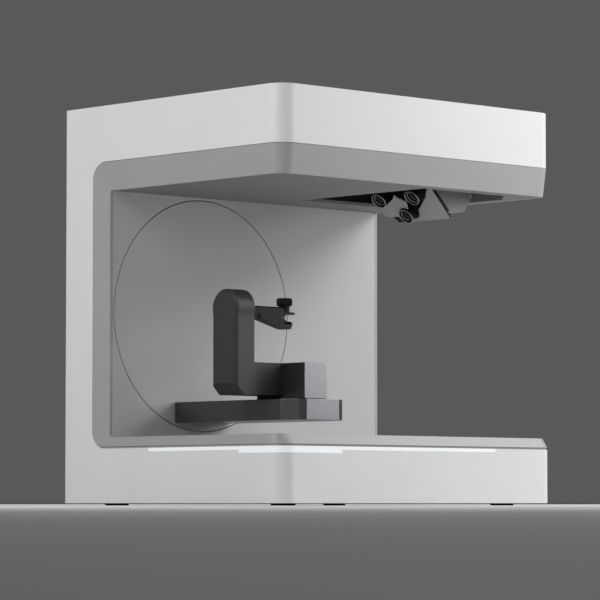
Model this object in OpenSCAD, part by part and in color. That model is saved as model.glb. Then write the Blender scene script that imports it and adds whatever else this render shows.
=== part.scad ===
// Desktop 3D scanner: a C-shaped bench unit that is open at the front and at both sides.
// A round disc in its back wall swings an arm, a platter on the arm turns a clamp holder,
// and a head with two cameras and a projector looks down at the clamp from the ceiling.
// Millimetres, +Z up, +X to the right of someone facing the front, -Y towards them.
// The origin is on the ground under the middle of the housing.

/* [Housing] */
// Width of the housing
body_w = 340; // [338:1:420]
// Depth of the housing
body_d = 288; // [260:1:350]
// Height of the housing without its feet
body_h = 356; // [345:1:430]
// Height of the base's upright face
base_h = 48.5; // [44:0.5:58]
// Height of the lintel's upright face
lintel_h = 50.5; // [46:0.5:62]
// Depth of the spine's side face
spine_d = 39.7; // [36:0.1:48]
// Thickness of the casing's walls
wall_t = 3; // [2.5:0.1:3.6]
// Thickness of the casing's rear frame, with the ledge for the rear cover
rear_wall_t = 6; // [5:0.5:7]
// Radius of the two upright front corners
corner_r = 16; // [13:0.5:22]
// Radius of the two upright rear corners
rear_corner_r = 3; // [1:0.5:5]
// Radius of the opening's corners on each side face
opening_r = 16.5; // [10:0.5:20]
// Drop of the feet below the housing
foot_h = 2; // [1.5:0.1:4]
// Radius of a foot
foot_r = 11; // [8:0.5:14]
// Distance of the feet from the housing's sides
foot_inset = 34; // [26:1:50]

/* [Bezel and panels] */
// Rise of the bevel from the base's face to the floor panel
floor_rise = 10.3; // [8:0.1:14]
// Drop of the bevel from the lintel's face to the ceiling panel
ceiling_drop = 26.3; // [18:0.1:30]
// Distance of the back panel in front of the spine's face
wall_drop = 21.2; // [16:0.1:26]
// Inset of the bevel's inner edge at both sides
side_inset = 2.5; // [1.5:0.1:4]
// Inset of the bevel's inner edge under the lintel's front
front_inset_top = 3.2; // [2:0.1:5]
// Inset of the bevel's inner edge on the base's front
front_inset_base = 6.1; // [3:0.1:7]
// Radius of the bevel's inner corners
inner_r = 2; // [1:0.5:6]
// Thickness of the bezel and of the three panels
liner_t = 3; // [2:0.1:3.5]
// Height of the shadow groove between the base and its bevel
seam_base = 1.8; // [0.8:0.1:2.5]
// Height of the hairline seam round the rest of the bezel
seam_line = 0.4; // [0.3:0.1:1]
// Depth of both seams
seam_depth = 1.2; // [0.6:0.1:1.6]

/* [Light bar] */
// Height of the light bar's thin arms
light_thin = 3; // [2:0.1:5]
// Height of the light bar round the front left corner
light_thick = 5.7; // [4:0.1:8]
// Depth of the light bar in the casing's wall
light_t = 2; // [1:0.1:2.2]
// Rear end of the light bar, behind the middle of the left side
light_rear = 27; // [0:1:80]
// Right end of the light bar, right of the middle of the front
light_right = 92; // [0:1:130]
// Length of the thick part along the left side, from the front face
light_thick_side = 53; // [30:1:90]
// Length of the thick part along the front, from the left face
light_thick_front = 71.4; // [40:1:110]

/* [Swing stage] */
// Place of the swing axis, left of the middle
swing_left = 57; // [50:0.5:62]
// Clearance between the disc and the floor panel
disc_clear = 6.8; // [4:0.1:14]
// Radius of the disc in the back panel
disc_r = 105.4; // [85:0.1:107]
// Gap round the disc
disc_gap = 0.9; // [0.6:0.1:1.5]
// Thickness of the disc
disc_t = 5; // [4:0.1:6]
// Width of the swing arm
arm_w = 66.8; // [54:0.1:76]
// Thickness of the swing arm
arm_t = 18.4; // [17:0.1:22]
// Distance between the disc's edge and the lower corners of the arm
arm_rim = 1.9; // [1:0.1:4]
// Width of the arm's front face
nose_w = 39.5; // [26:0.1:46]
// Length of the arm's tapered nose
nose_l = 18.6; // [10:0.1:26]
// Reach of the arm in front of the turntable axis
arm_reach = 51.6; // [48:0.1:60]
// Thickness of the arm's walls
arm_wall = 3; // [2.5:0.1:3.5]
// Distance of the turntable axis behind the front face of the housing
turn_from_front = 119; // [110:0.5:130]

/* [Swing drive] */
// Radius of the swing shaft
shaft_r = 12; // [10:0.5:14]
// Radius of the hub's flange, which carries the gear
hub_r = 30; // [26:0.5:34]
// Size of the swing gear's teeth, as a module
swing_module = 1.5; // [1.25:0.25:1.5]
// Teeth on the swing gear
swing_teeth = 80; // [76:2:82]
// Teeth on the swing pinion
swing_pinion_teeth = 20; // [16:2:24]
// Width of both swing gears
swing_gear_w = 6; // [5:0.5:6.5]
// Side of the swing motor's square body
motor_w = 42; // [36:1:46]

/* [Turntable] */
// Radius of the platter
platter_r = 23.2; // [21:0.1:26]
// Thickness of the platter
platter_t = 3.2; // [2.5:0.1:4]
// Radius of the turntable shaft
spindle_r = 5; // [4:0.5:6]
// Size of the turntable gear's teeth, as a module
turn_module = 0.8; // [0.7:0.05:0.8]
// Teeth on the turntable gear
turn_teeth = 44; // [40:2:46]
// Teeth on the turntable pinion
turn_pinion_teeth = 16; // [14:2:18]
// Width of both turntable gears
turn_gear_w = 3; // [2.5:0.5:3]

/* [Holder] */
// Distance of the column's outer face from the turntable axis
column_out = 71.3; // [66:0.1:80]
// Thickness of the column
column_t = 21.8; // [16:0.1:24]
// Depth of the column and foot
column_d = 32.6; // [28:0.1:38]
// Height of the foot
foot_bar_h = 28.6; // [24:0.1:32]
// Chamfer under the column
column_chamfer = 10; // [5:0.5:14]
// Chamfer round the column's outer face
column_edge = 2.8; // [1:0.1:4]
// Swell of the column's round head on each side
knuckle = 0.7; // [0.3:0.1:1.2]
// Distance of the block's left face from the turntable axis
block_left = 16.3; // [12:0.1:20]
// Distance of the block's right face from the turntable axis
block_right = 10.5; // [8:0.1:16]
// Reach of the block in front of the turntable axis
block_front = 45.2; // [36:0.1:46]
// Radius of the block's upper right edge
block_r = 4.5; // [2:0.5:6]

/* [Clamp] */
// Depth of the clamp's jaws
jaw_d = 12; // [10:0.5:16]
// Thickness of the upper jaw
jaw_t = 2; // [1.6:0.1:3]
// Distance of the upper jaw's underside below the swing axis
jaw_drop = 3; // [2:0.1:3.4]
// Reach of both jaws past the turntable axis
jaw_reach = 12.5; // [11:0.5:16]
// Opening between the jaws at rest
jaw_open = 2.8; // [2.6:0.1:4]
// Distance of the screw in front of the turntable axis, towards the jaw's tip
screw_out = 1.6; // [0:0.1:3]
// Radius of the clamp screw
screw_r = 1.5; // [1.2:0.1:2]
// Radius of the knurled knob
knob_r = 7.1; // [6:0.1:9]
// Height of the knurled knob
knob_h = 7.1; // [5:0.1:9]
// Radius of the knob's neck
knob_neck_r = 4.7; // [3.5:0.1:6]
// Flutes round the knob
knob_flutes = 20; // [12:1:24]

/* [Camera head] */
// Distance of the lens row right of the swing axis
head_reach = 141.2; // [136:0.1:146]
// Height of the lens row above the ceiling panel
head_up = 0.3; // [0:0.1:2]
// Distance below the swing axis of the point that the head looks at
head_aim = 25; // [10:0.5:40]
// Half the distance between the two cameras
camera_spread = 21.5; // [19:0.5:25]
// Distance of the projector below the row of cameras
projector_drop = 20.3; // [18:0.1:23]
// Radius of the lens barrels
barrel_r = 7.8; // [6.5:0.1:8.5]
// Length of the lens barrels in front of the faceplate
barrel_l = 10; // [8:0.5:14]
// Thickness of the faceplate
faceplate_t = 2; // [1.5:0.1:3]
// Width of the recess in the ceiling left of the lens row
recess_w_left = 62; // [54:1:72]
// Width of the recess right of the lens row
recess_w_right = 68; // [67:1:72]
// Distance of the recess from the front face
recess_front = 21; // [14:1:30]
// Height of the recess
recess_h = 56; // [50:1:62]

/* [Cooling and connections] */
// Side of the fan
fan_w = 60; // [50:1:70]
// Thickness of the fan
fan_t = 14; // [12:1:16]
// Blades on the fan
fan_blades = 7; // [5:1:9]
// Travel of the power button
button_travel = 1.5; // [1:0.1:2]
// Radius of the power button
button_r = 6; // [5:0.5:8]

/* [Fits] */
// Radial clearance of a running shaft
run_fit = 0.05; // [0.02:0.01:0.08]
// Gap between a panel and the frame that it drops into
panel_gap = 0.15; // [0.1:0.05:0.3]
// Gap between pieces that move past each other
move_gap = 0.5; // [0.4:0.05:0.8]

/* [Hidden] */
$fn = 64;
eps = 0.01;

// Levels of the housing
base_top = foot_h + base_h;
body_top = foot_h + body_h;
lintel_z = body_top - lintel_h;
floor_z = base_top + floor_rise;
ceiling_z = lintel_z - ceiling_drop;
front_y = -body_d / 2;
rear_y = body_d / 2;
spine_y = rear_y - spine_d;
wall_y = spine_y - wall_drop;
panel_x = body_w / 2 - side_inset - liner_t - panel_gap;
cover_edge = 14;
cover_ledge = 6;
cover_t = wall_t;
cover_y = rear_y - cover_t;
bottom_t = 2.5;

// Swing stage
swing_x = -swing_left;
swing_z = floor_z + disc_r + disc_clear;
arm_z = swing_z - sqrt(pow(disc_r - arm_rim, 2) - pow(arm_w / 2, 2));
arm_top = arm_z + arm_t;
turn_y = front_y + turn_from_front;
arm_front = turn_y - arm_reach;
disc_back = wall_y + disc_t;
arm_root = 10;
bolt_r = 1.6;
bolt_head_r = 3;
bolt_head_h = 2.6;
bolt_places = [
    for (x = [-1, 1], z = [0.35, 0.75])
        [swing_x + x * arm_w * 0.36, arm_z + z * arm_t],
];

// Swing drive, from the disc to the rear
hub_back = disc_back + 8;
block_w = 10;
block_y = hub_back + 2;
chassis_y = block_y + block_w;
chassis_t = 2.5;
bearing_r = 2 * shaft_r;
bearing_seat_r = bearing_r + 9;
collar_w = 8;
collar_y = chassis_y + chassis_t + move_gap;
shaft_back = collar_y + collar_w;
gear_y = disc_back + 1.4;
swing_gear_r = swing_module * swing_teeth / 2;
swing_pinion_r = swing_module * swing_pinion_teeth / 2;
motor_x = swing_x + swing_gear_r + swing_pinion_r;
motor_shaft_r = 2.5;
motor_l = rear_y - rear_wall_t - chassis_y - chassis_t - 2;

// Turntable drive inside the arm, from its floor to its top
turn_gear_z = arm_z + arm_wall + 1.2;
turn_gear_r = turn_module * turn_teeth / 2;
turn_pinion_r = turn_module * turn_pinion_teeth / 2;
turn_motor_y = turn_y + turn_gear_r + turn_pinion_r;
turn_motor_r = 11;
turn_motor_z = turn_gear_z + turn_gear_w + move_gap;
spindle_bearing_r = spindle_r + 4;
spindle_boss_r = spindle_bearing_r + 2.3;
spindle_bearing_z = turn_gear_z + turn_gear_w + 1.2;
platter_z = arm_top + move_gap - 0.1;
platter_top = platter_z + platter_t;
pinion_shaft_r = 1;

// Holder
column_x = swing_x - column_out;
column_face_x = column_x + column_t;
block_x = swing_x - block_left;
block_z = arm_top + move_gap;
block_top = platter_top + foot_bar_h;
knuckle_r = column_d / 2 + knuckle;
blend_r = 30;
// Where the head's swell meets its blend, and where the blend meets the column's flat faces
knuckle_a = acos(1 - knuckle / (knuckle_r + blend_r));
knuckle_z = swing_z - knuckle_r * sin(knuckle_a);
blend_z = knuckle_z - blend_r * sin(knuckle_a);

// Clamp
screw_x = swing_x + screw_out;
jaw_z = swing_z - jaw_drop;
lower_jaw_z = jaw_z - jaw_open;
jaw_tip_x = swing_x + jaw_reach;
jaw_root_x = screw_x - knob_neck_r;
neck_h = 5.4;
knob_z = jaw_z + jaw_t + neck_h;
lower_jaw_h = 10.4;
clamp_top = jaw_z + 6.2;
clamp_edge = 1.3;
notch_h = 6;
// Step in the beam's top, where the knob comes down as the jaw closes
knob_step_x = screw_x - knob_r - move_gap;
knob_step_z = knob_z - jaw_open - move_gap / 2;

// Camera head
head_right = swing_x + head_reach;
head_y = turn_y;
head_z = ceiling_z + head_up;
head_tilt = atan2(head_reach, head_z - swing_z + head_aim);
recess_left = head_right - recess_w_left;
recess_right = head_right + recess_w_right;
face_back = barrel_l;
// Faceplate: how far it runs down and up the slope, and to the front and the rear
face_down = 33.5;
face_up = 6;
face_front = 41.5;
face_rear_low = 25;
face_rear_high = 39;
cheek_t = 1;
// Hood behind the faceplate: its bottom, and its right edges at the bottom and at the top
groove_w = 2;
groove_in = 3;
hood_bottom_z = head_z - 11;
hood_top_z = head_z + 13;
hood_right_low = head_right + 49.3;
hood_right_high = head_right + 65.5;
head_neck_inset = 16;
head_neck_d = 60;
bracket_back = 2.5;
bracket_t = 1.6;
tray_t = 1.5;
tray_top = ceiling_z + liner_t + recess_h;
recess_back_y = wall_y - 4;
recess_front_y = front_y + recess_front;

// Rear connections
fan_x = body_w / 2 - 74;
fan_z = ceiling_z - 30;
fan_y = cover_y - fan_t;
fan_plate_t = 3;
fan_pin_r = 2;
inlet_x = -body_w / 2 + 60;
socket_x = inlet_x + 44;
button_x = -body_w / 2 + 31.5;
port_z = foot_h + 34;
rear_screw_r = 1.5;
rear_screw_gap = 0.1;
rear_head_r = 2.8;
rear_head_h = 1.8;
rear_screw_l = 8;
button_collar_t = 2;
button_collar_r = button_r + 1.5;
switch_w = 2 * button_collar_r + 4;
switch_l = 16;

// ---------- shared forms ----------

// Plan of the housing, drawn in by e all round
module plan(e) {
    w = body_w - 2 * e;
    d = body_d - 2 * e;
    rf = corner_r - e;
    rr = max(rear_corner_r - e, 0.4);
    translate([-w / 2, -d / 2 + rf]) square([w, d - rf - rr]);
    translate([-w / 2 + rf, -d / 2]) square([w - 2 * rf, rf + 1]);
    translate([-w / 2 + rr, d / 2 - rr - 1]) square([w - 2 * rr, rr + 1]);
    for (side = [-1, 1]) {
        translate([side * (w / 2 - rf), -d / 2 + rf]) circle(rf);
        translate([side * (w / 2 - rr), d / 2 - rr]) circle(rr);
    }
}

// Rectangle with round corners, from its two opposite corners
module round_rect(x0, y0, x1, y1, r) {
    translate([x0 + r, y0]) square([x1 - x0 - 2 * r, y1 - y0]);
    translate([x0, y0 + r]) square([x1 - x0, y1 - y0 - 2 * r]);
    for (x = [x0 + r, x1 - r], y = [y0 + r, y1 - r]) translate([x, y]) circle(r);
}

// Places a form drawn in X and Z so that its height runs along +Y from y
module along_y(y) {
    translate([0, y, 0]) rotate([90, 0, 0]) mirror([0, 0, 1]) children();
}

// Places a form drawn in Y and Z so that its height runs along +X from x
module along_x(x) {
    translate([x, 0, 0]) rotate([90, 0, 90]) children();
}

// Outline of a spur gear with its first tooth on +X
function gear_outline(teeth, size) = [
    for (i = [0 : teeth - 1], corner = [[-0.29, -1.25], [-0.11, 1], [0.11, 1], [0.29, -1.25]])
        let (a = (i + corner[0]) * 360 / teeth, r = size * (teeth / 2 + corner[1]))
            [r * cos(a), r * sin(a)],
];

module ring(r_out, r_in, h) {
    difference() {
        cylinder(h = h, r = r_out);
        translate([0, 0, -1]) cylinder(h = h + 2, r = r_in);
    }
}

// ---------- housing ----------

// The C-shaped opening, in Y and Z
module opening_outline() {
    r = opening_r;
    translate([front_y - 1, base_top]) square([spine_y - r - front_y + 1, lintel_z - base_top]);
    translate([0, base_top + r]) square([spine_y, lintel_z - base_top - 2 * r]);
    for (z = [base_top + r, lintel_z - r]) translate([spine_y - r, z]) circle(r);
}

// Strip of the casing's wall that the light bar fills, between two heights
module light_strip(rear, right, h, depth) {
    left_x = -body_w / 2;
    in = depth + 3;
    turn = corner_r + 4;
    translate([0, 0, base_top - h]) linear_extrude(h) intersection() {
        difference() {
            plan(0);
            plan(depth);
        }
        polygon([
            [left_x - 1, front_y - 1], [right, front_y - 1], [right, front_y + in],
            [left_x + turn, front_y + in], [left_x + in, front_y + turn],
            [left_x + in, rear], [left_x - 1, rear],
        ]);
    }
}

module light_form() {
    light_strip(light_rear, light_right, light_thin, light_t);
    light_strip(front_y + light_thick_side, -body_w / 2 + light_thick_front, light_thick, light_t);
}

cover_x = body_w / 2 - cover_edge;
cover_z0 = foot_h + cover_edge;
cover_z1 = body_top - cover_edge;
cover_corner_r = 8;
rear_screw_places = [
    for (x = [-1, 1], z = [-1, 0, 1])
        [x * (cover_x - cover_ledge / 2), (cover_z0 + cover_z1) / 2
            + z * ((cover_z1 - cover_z0) / 2 - 2 * cover_corner_r)],
];

module casing() color("gainsboro") difference() {
    translate([0, 0, foot_h]) linear_extrude(body_h) plan(0);
    along_x(-body_w) linear_extrude(2 * body_w) opening_outline();
    translate([0, 0, foot_h - 1]) linear_extrude(body_h - wall_t + 1) intersection() {
        plan(wall_t);
        translate([-body_w, -body_d]) square([2 * body_w, body_d + rear_y - rear_wall_t]);
    }
    along_y(cover_y) linear_extrude(cover_t + 1)
        round_rect(-cover_x, cover_z0, cover_x, cover_z1, cover_corner_r);
    along_y(rear_y - rear_wall_t - 1) linear_extrude(rear_wall_t)
        round_rect(-cover_x + cover_ledge, cover_z0 + cover_ledge,
            cover_x - cover_ledge, cover_z1 - cover_ledge, 4);
    light_form();
    for (p = rear_screw_places)
        translate([p[0], 0, p[1]]) along_y(rear_y - rear_wall_t - 1)
            cylinder(h = rear_wall_t, r = rear_screw_r + rear_screw_gap);
}

// One cross-section of the bezel: outer edge, inner edge, and the hidden faces behind them.
// edge and inner are points on the two visible edges, lip is the outer edge across the seam,
// and back gives the way into the housing.
function bezel_section(edge, lip, inner, back) = [
    lip,
    inner,
    inner + liner_t * back,
    edge + liner_t * back,
    edge + seam_depth * back,
    lip + seam_depth * back,
];

// Sections round an upright front corner, a from 0 at the front face to 90 at the side face
function bezel_front(a, z_edge, z_lip, z_inner, front_inset) =
    let (
        c = [-body_w / 2 + corner_r, front_y + corner_r, 0],
        way = [-sin(a), -cos(a), 0],
        out = corner_r * way,
        in = [-(corner_r - side_inset) * sin(a), -(corner_r - front_inset) * cos(a), 0]
    )
        bezel_section(c + out + [0, 0, z_edge], c + out + [0, 0, z_lip],
            c + in + [0, 0, z_inner], -way);

// Sections round a corner of the opening on the left side face
function bezel_rear(y_way, z_way, seam, z_edge, z_inner) =
    let (
        up = z_edge > z_inner ? 1 : -1,
        c = [-body_w / 2, spine_y - opening_r, z_edge - up * opening_r],
        ci = [-body_w / 2 + side_inset, wall_y - inner_r, z_inner - up * inner_r],
        way = [0, y_way, up * z_way]
    )
        bezel_section(c + opening_r * way, c + (opening_r - seam) * way, ci + inner_r * way,
            [1, 0, 0]);

corner_steps = [0 : 10 : 90];
bezel_left = concat(
    [for (a = corner_steps)
        bezel_front(a, lintel_z, lintel_z - seam_line, ceiling_z, front_inset_top)],
    [for (a = corner_steps) bezel_rear(sin(a), cos(a), seam_line, lintel_z, ceiling_z)],
    [for (a = corner_steps)
        bezel_rear(cos(a), sin(a), seam_line + (seam_base - seam_line) * a / 90, base_top, floor_z)],
    [for (a = corner_steps)
        bezel_front(90 - a, base_top, base_top + seam_base, floor_z, front_inset_base)]
);

function mirror_x(section) = [for (p = section) [-p[0], p[1], p[2]]];

// The closed loop of sections, left side and then right side
bezel_loop = let (n = len(bezel_left))
    concat(bezel_left, [for (i = [n - 1 : -1 : 0]) mirror_x(bezel_left[i])]);

// One strip swept round the whole opening: over the left side, along the base and back
module bezel() color("darkgray") {
    n = len(bezel_loop);
    m = len(bezel_loop[0]);
    polyhedron(
        points = [for (section = bezel_loop, p = section) p],
        faces = [
            for (i = [0 : n - 1], j = [0 : m - 1], half = [0, 1])
                let (
                    a = i * m + j,
                    b = i * m + (j + 1) % m,
                    c = ((i + 1) % n) * m + (j + 1) % m,
                    d = ((i + 1) % n) * m + j
                )
                    half == 0 ? [a, b, c] : [a, c, d],
        ]
    );
}

// Plan of a level panel that drops inside the bezel
module panel_plan(front_inset) {
    e = liner_t + panel_gap;
    y0 = front_y + front_inset + e;
    r = corner_r - min(front_inset, side_inset) - e;
    y1 = wall_y + liner_t;
    difference() {
        round_rect(-panel_x, y0, panel_x, y1 + 2 * r, r);
        translate([-body_w, y1]) square([2 * body_w, body_d]);
    }
}

module back_panel() color("silver") difference() {
    translate([-panel_x, wall_y, floor_z])
        cube([2 * panel_x, liner_t, ceiling_z - floor_z]);
    translate([swing_x, 0, swing_z]) along_y(wall_y - 1)
        cylinder(h = liner_t + 2, r = disc_r + disc_gap, $fn = 128);
}

// Mouth of the camera recess, drawn in by e
module recess_plan(e) {
    cut = 26;
    polygon([
        [recess_left + e, recess_front_y + e],
        [recess_right - cut - e / 2, recess_front_y + e],
        [recess_right - e, recess_front_y + cut + e / 2],
        [recess_right - e, recess_back_y - e],
        [recess_left + e, recess_back_y - e],
    ]);
}

module ceiling_panel() color("darkgray") translate([0, 0, ceiling_z]) linear_extrude(liner_t)
    difference() {
        panel_plan(front_inset_top);
        recess_plan(0);
    }

module floor_panel() color("silver") translate([0, 0, floor_z - liner_t])
    linear_extrude(liner_t) panel_plan(front_inset_base);

module bottom_plate() color("dimgray") difference() {
    translate([0, 0, foot_h]) linear_extrude(bottom_t) intersection() {
        plan(wall_t + panel_gap);
        translate([-body_w, -body_d])
            square([2 * body_w, body_d + rear_y - rear_wall_t - panel_gap]);
    }
    for (x = [-1, 1], y = [-70 : 10 : 20])
        translate([x * 60 - 25, y, foot_h - 1]) linear_extrude(bottom_t + 2)
            round_rect(0, 0, 50, 4, 1.9);
}

foot_places = [
    for (x = [-1, 1], y = [-1, 1])
        [x * (body_w / 2 - foot_inset), y * (body_d / 2 - foot_inset)],
];

module feet() color("black") for (p = foot_places) translate([p[0], p[1], 0]) {
    cylinder(h = foot_h / 2, r1 = foot_r - foot_h / 2, r2 = foot_r);
    translate([0, 0, foot_h / 2]) cylinder(h = foot_h / 2, r = foot_r);
}

module floor_posts() color("silver") for (p = foot_places)
    translate([p[0], min(p[1], wall_y - 12), foot_h + bottom_t])
        cylinder(h = floor_z - liner_t - foot_h - bottom_t, r = 4);

// ---------- light bar ----------

module light_bar() color("white") light_form();

// Thin circuit strip behind the light bar, inside the casing's wall
module led_board() color("darkgreen") {
    t = 1;
    h = light_thick - 0.5;
    translate([0, 0, base_top - h - 0.2]) linear_extrude(h) intersection() {
        difference() {
            plan(wall_t);
            plan(wall_t + t);
        }
        polygon([
            [-body_w / 2, front_y], [light_right, front_y], [light_right, front_y + 6],
            [-body_w / 2 + corner_r + 8, front_y + 6], [-body_w / 2 + 6, front_y + corner_r + 8],
            [-body_w / 2 + 6, light_rear], [-body_w / 2, light_rear],
        ]);
    }
}

// ---------- rear ----------

module fan_grille() {
    r_max = fan_w / 2 - 3;
    difference() {
        for (r = [9 : 6 : r_max]) difference() {
            circle(r + 1.8);
            circle(r - 1.8);
        }
        for (a = [45, 135]) rotate(a) square([fan_w, 3], center = true);
    }
}

module rear_cover() color("gainsboro") difference() {
    along_y(cover_y) linear_extrude(cover_t)
        round_rect(-cover_x + panel_gap, cover_z0 + panel_gap,
            cover_x - panel_gap, cover_z1 - panel_gap, cover_corner_r - panel_gap);
    for (p = rear_screw_places) translate([p[0], 0, p[1]]) {
        along_y(cover_y - 1) cylinder(h = cover_t + 2, r = rear_screw_r + rear_screw_gap);
        along_y(rear_y - rear_head_h) cylinder(h = cover_t, r = rear_head_r + rear_screw_gap);
    }
    translate([fan_x, 0, fan_z]) along_y(cover_y - 1) linear_extrude(cover_t + 2) fan_grille();
    for (x = [-120 : 10 : -20])
        along_y(cover_y - 1) linear_extrude(cover_t + 2)
            round_rect(x, fan_z - 25, x + 3.6, fan_z + 25, 1.7);
    along_y(cover_y - 1) linear_extrude(cover_t + 2)
        round_rect(inlet_x - 14, port_z - 10.5, inlet_x + 14, port_z + 10.5, 2);
    along_y(cover_y - 1) linear_extrude(cover_t + 2)
        round_rect(socket_x - 6.5, port_z - 6, socket_x + 6.5, port_z + 6, 1);
    translate([button_x, 0, port_z]) along_y(cover_y - 1)
        cylinder(h = cover_t + 2, r = button_r + 0.3);
}

module rear_screws() color("dimgray") for (p = rear_screw_places)
    translate([p[0], 0, p[1]]) {
        along_y(rear_y - rear_head_h) ring(rear_head_r, rear_screw_r - 0.3, rear_head_h);
        along_y(rear_y - rear_screw_l) cylinder(h = rear_screw_l - 1, r = rear_screw_r);
    }

// Appliance inlet: a moulded box with a six-sided mouth and three blades
module power_inlet() color("black") translate([inlet_x, 0, port_z]) {
    difference() {
        union() {
            along_y(rear_y - 22) linear_extrude(22) round_rect(-13.8, -10.3, 13.8, 10.3, 2);
            along_y(cover_y - 2) linear_extrude(2) round_rect(-17, -13, 17, 13, 2);
        }
        along_y(rear_y - 16) linear_extrude(17)
            polygon([[-11.5, -8], [11.5, -8], [11.5, 4], [8, 8], [-8, 8], [-11.5, 4]]);
    }
    for (p = [[-7, -1.5], [0, 2.5], [7, -1.5]])
        along_y(rear_y - 17) translate([p[0] - 1, p[1] - 2]) cube([2, 4, 14]);
}

module data_socket() color("silver") translate([socket_x, 0, port_z]) {
    difference() {
        along_y(rear_y - 16) linear_extrude(16) round_rect(-6.2, -5.7, 6.2, 5.7, 0.8);
        along_y(rear_y - 12) linear_extrude(13)
            polygon([[-4.6, -4], [4.6, -4], [4.6, 2.6], [3.2, 4], [-3.2, 4], [-4.6, 2.6]]);
    }
    along_y(rear_y - 13) translate([-2.8, -1.5]) cube([5.6, 3, 9]);
    along_y(cover_y - 14) translate([-9, -7.5]) cube([18, 15, 1.6]);
}

// Push button: a cap with a collar behind the cover that keeps it in
module power_button() color("dimgray") translate([button_x, 0, port_z]) {
    along_y(cover_y - run_fit - button_collar_t) cylinder(h = button_collar_t, r = button_collar_r);
    along_y(cover_y - run_fit) cylinder(h = cover_t - 0.4, r = button_r);
    along_y(rear_y - 0.4 - run_fit) cylinder(h = 0.4, r1 = button_r, r2 = button_r - 0.4);
}

// Sealed switch behind the cover, with the round well that the button's collar moves in
module power_switch() color("black") translate([button_x, 0, port_z]) difference() {
    along_y(cover_y - switch_l) linear_extrude(switch_l)
        round_rect(-switch_w / 2, -switch_w / 2, switch_w / 2, switch_w / 2, 2);
    along_y(cover_y - button_collar_t - button_travel - 1)
        cylinder(h = switch_l, r = button_collar_r + 0.25);
}

module fan_frame() color("black") translate([fan_x, 0, fan_z]) difference() {
    along_y(fan_y) linear_extrude(fan_t)
        round_rect(-fan_w / 2, -fan_w / 2, fan_w / 2, fan_w / 2, 4);
    along_y(fan_y + fan_plate_t) cylinder(h = fan_t, r = fan_w / 2 - 2);
    along_y(fan_y - 1) linear_extrude(fan_plate_t + 2) difference() {
        circle(fan_w / 2 - 2);
        circle(13);
        for (a = [0, 90]) rotate(a + 20) square([fan_w, 5], center = true);
    }
    along_y(fan_y + 0.8) cylinder(h = fan_plate_t, r = fan_pin_r + run_fit);
}

// Fan wheel: a hub with pitched blades, turning on a pin in the frame
module fan_rotor() color("dimgray") translate([fan_x, 0, fan_z]) {
    along_y(fan_y + fan_plate_t + move_gap)
        cylinder(h = fan_t - fan_plate_t - 2 * move_gap - 0.5, r = 11);
    along_y(fan_y + 1) cylinder(h = fan_plate_t, r = fan_pin_r);
    for (i = [0 : fan_blades - 1]) rotate([0, i * 360 / fan_blades, 0])
        translate([0, fan_y + (fan_t + fan_plate_t) / 2, 10]) rotate([0, 0, 35])
            translate([-5.5, -0.6, 0]) cube([11, 1.2, fan_w / 2 - 14]);
}

// ---------- chassis and electronics ----------

// Half the distance between the outer edges of the chassis plate's windows
window_x = body_w / 2 - 21;

module chassis_plate() color("lightsteelblue") difference() {
    translate([-body_w / 2 + wall_t, chassis_y, foot_h + bottom_t])
        cube([body_w - 2 * wall_t, chassis_t, body_h - wall_t - bottom_t]);
    translate([swing_x, 0, swing_z]) along_y(chassis_y - 1)
        cylinder(h = chassis_t + 2, r = shaft_r + 3);
    translate([motor_x, 0, swing_z]) along_y(chassis_y - 1) cylinder(h = chassis_t + 2, r = 11);
    along_y(chassis_y - 1) linear_extrude(chassis_t + 2) {
        round_rect(-window_x, foot_h + 12, window_x, base_top - 2, 5);
        round_rect(60, base_top + 24, window_x, ceiling_z - 90, 8);
        round_rect(60, ceiling_z - 70, window_x, ceiling_z + 20, 8);
        round_rect(-window_x, ceiling_z + 12, 40, body_top - 16, 8);
    }
}

module bearing_block() color("slategray") translate([swing_x, 0, swing_z])
    along_y(block_y) difference() {
        union() {
            cylinder(h = block_w, r = bearing_seat_r);
            translate([0, 0, block_w - 4]) linear_extrude(4)
                round_rect(-bearing_seat_r - 8, -14, bearing_seat_r + 8, 14, 6);
        }
        translate([0, 0, -1]) cylinder(h = block_w + 2, r = bearing_r);
        for (side = [-1, 1]) translate([side * (bearing_seat_r + 3), 0, 0])
            cylinder(h = block_w + 2, r = 2.2);
    }

// Ball bearing: two rings with a row of balls between them, held by a cage band
module bearing(r_in, r_out, w, balls) {
    r_mid = (r_in + r_out) / 2;
    gap = (r_out - r_in) / 2 - 2.4;
    ring(r_out, r_mid + gap / 2, w);
    ring(r_mid - gap / 2, r_in, w);
    translate([0, 0, w * 0.3]) ring(r_mid + gap / 2 + eps, r_mid - gap / 2 - eps, w * 0.4);
    for (i = [0 : balls - 1]) rotate(i * 360 / balls)
        translate([r_mid, 0, w / 2]) sphere(r = min(w * 0.36, gap * 0.7), $fn = 24);
}

module swing_bearing() color("silver") translate([swing_x, 0, swing_z])
    along_y(block_y) bearing(shaft_r + run_fit, bearing_r, block_w, 10);

module swing_motor() color("dimgray") translate([motor_x, 0, swing_z]) difference() {
    along_y(chassis_y + chassis_t) linear_extrude(motor_l) difference() {
        square(motor_w, center = true);
        for (a = [45 : 90 : 315]) rotate(a) translate([motor_w * 0.66, 0])
            square([6, 20], center = true);
    }
    along_y(chassis_y + chassis_t - 1) cylinder(h = 14, r = motor_shaft_r + run_fit);
}

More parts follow.
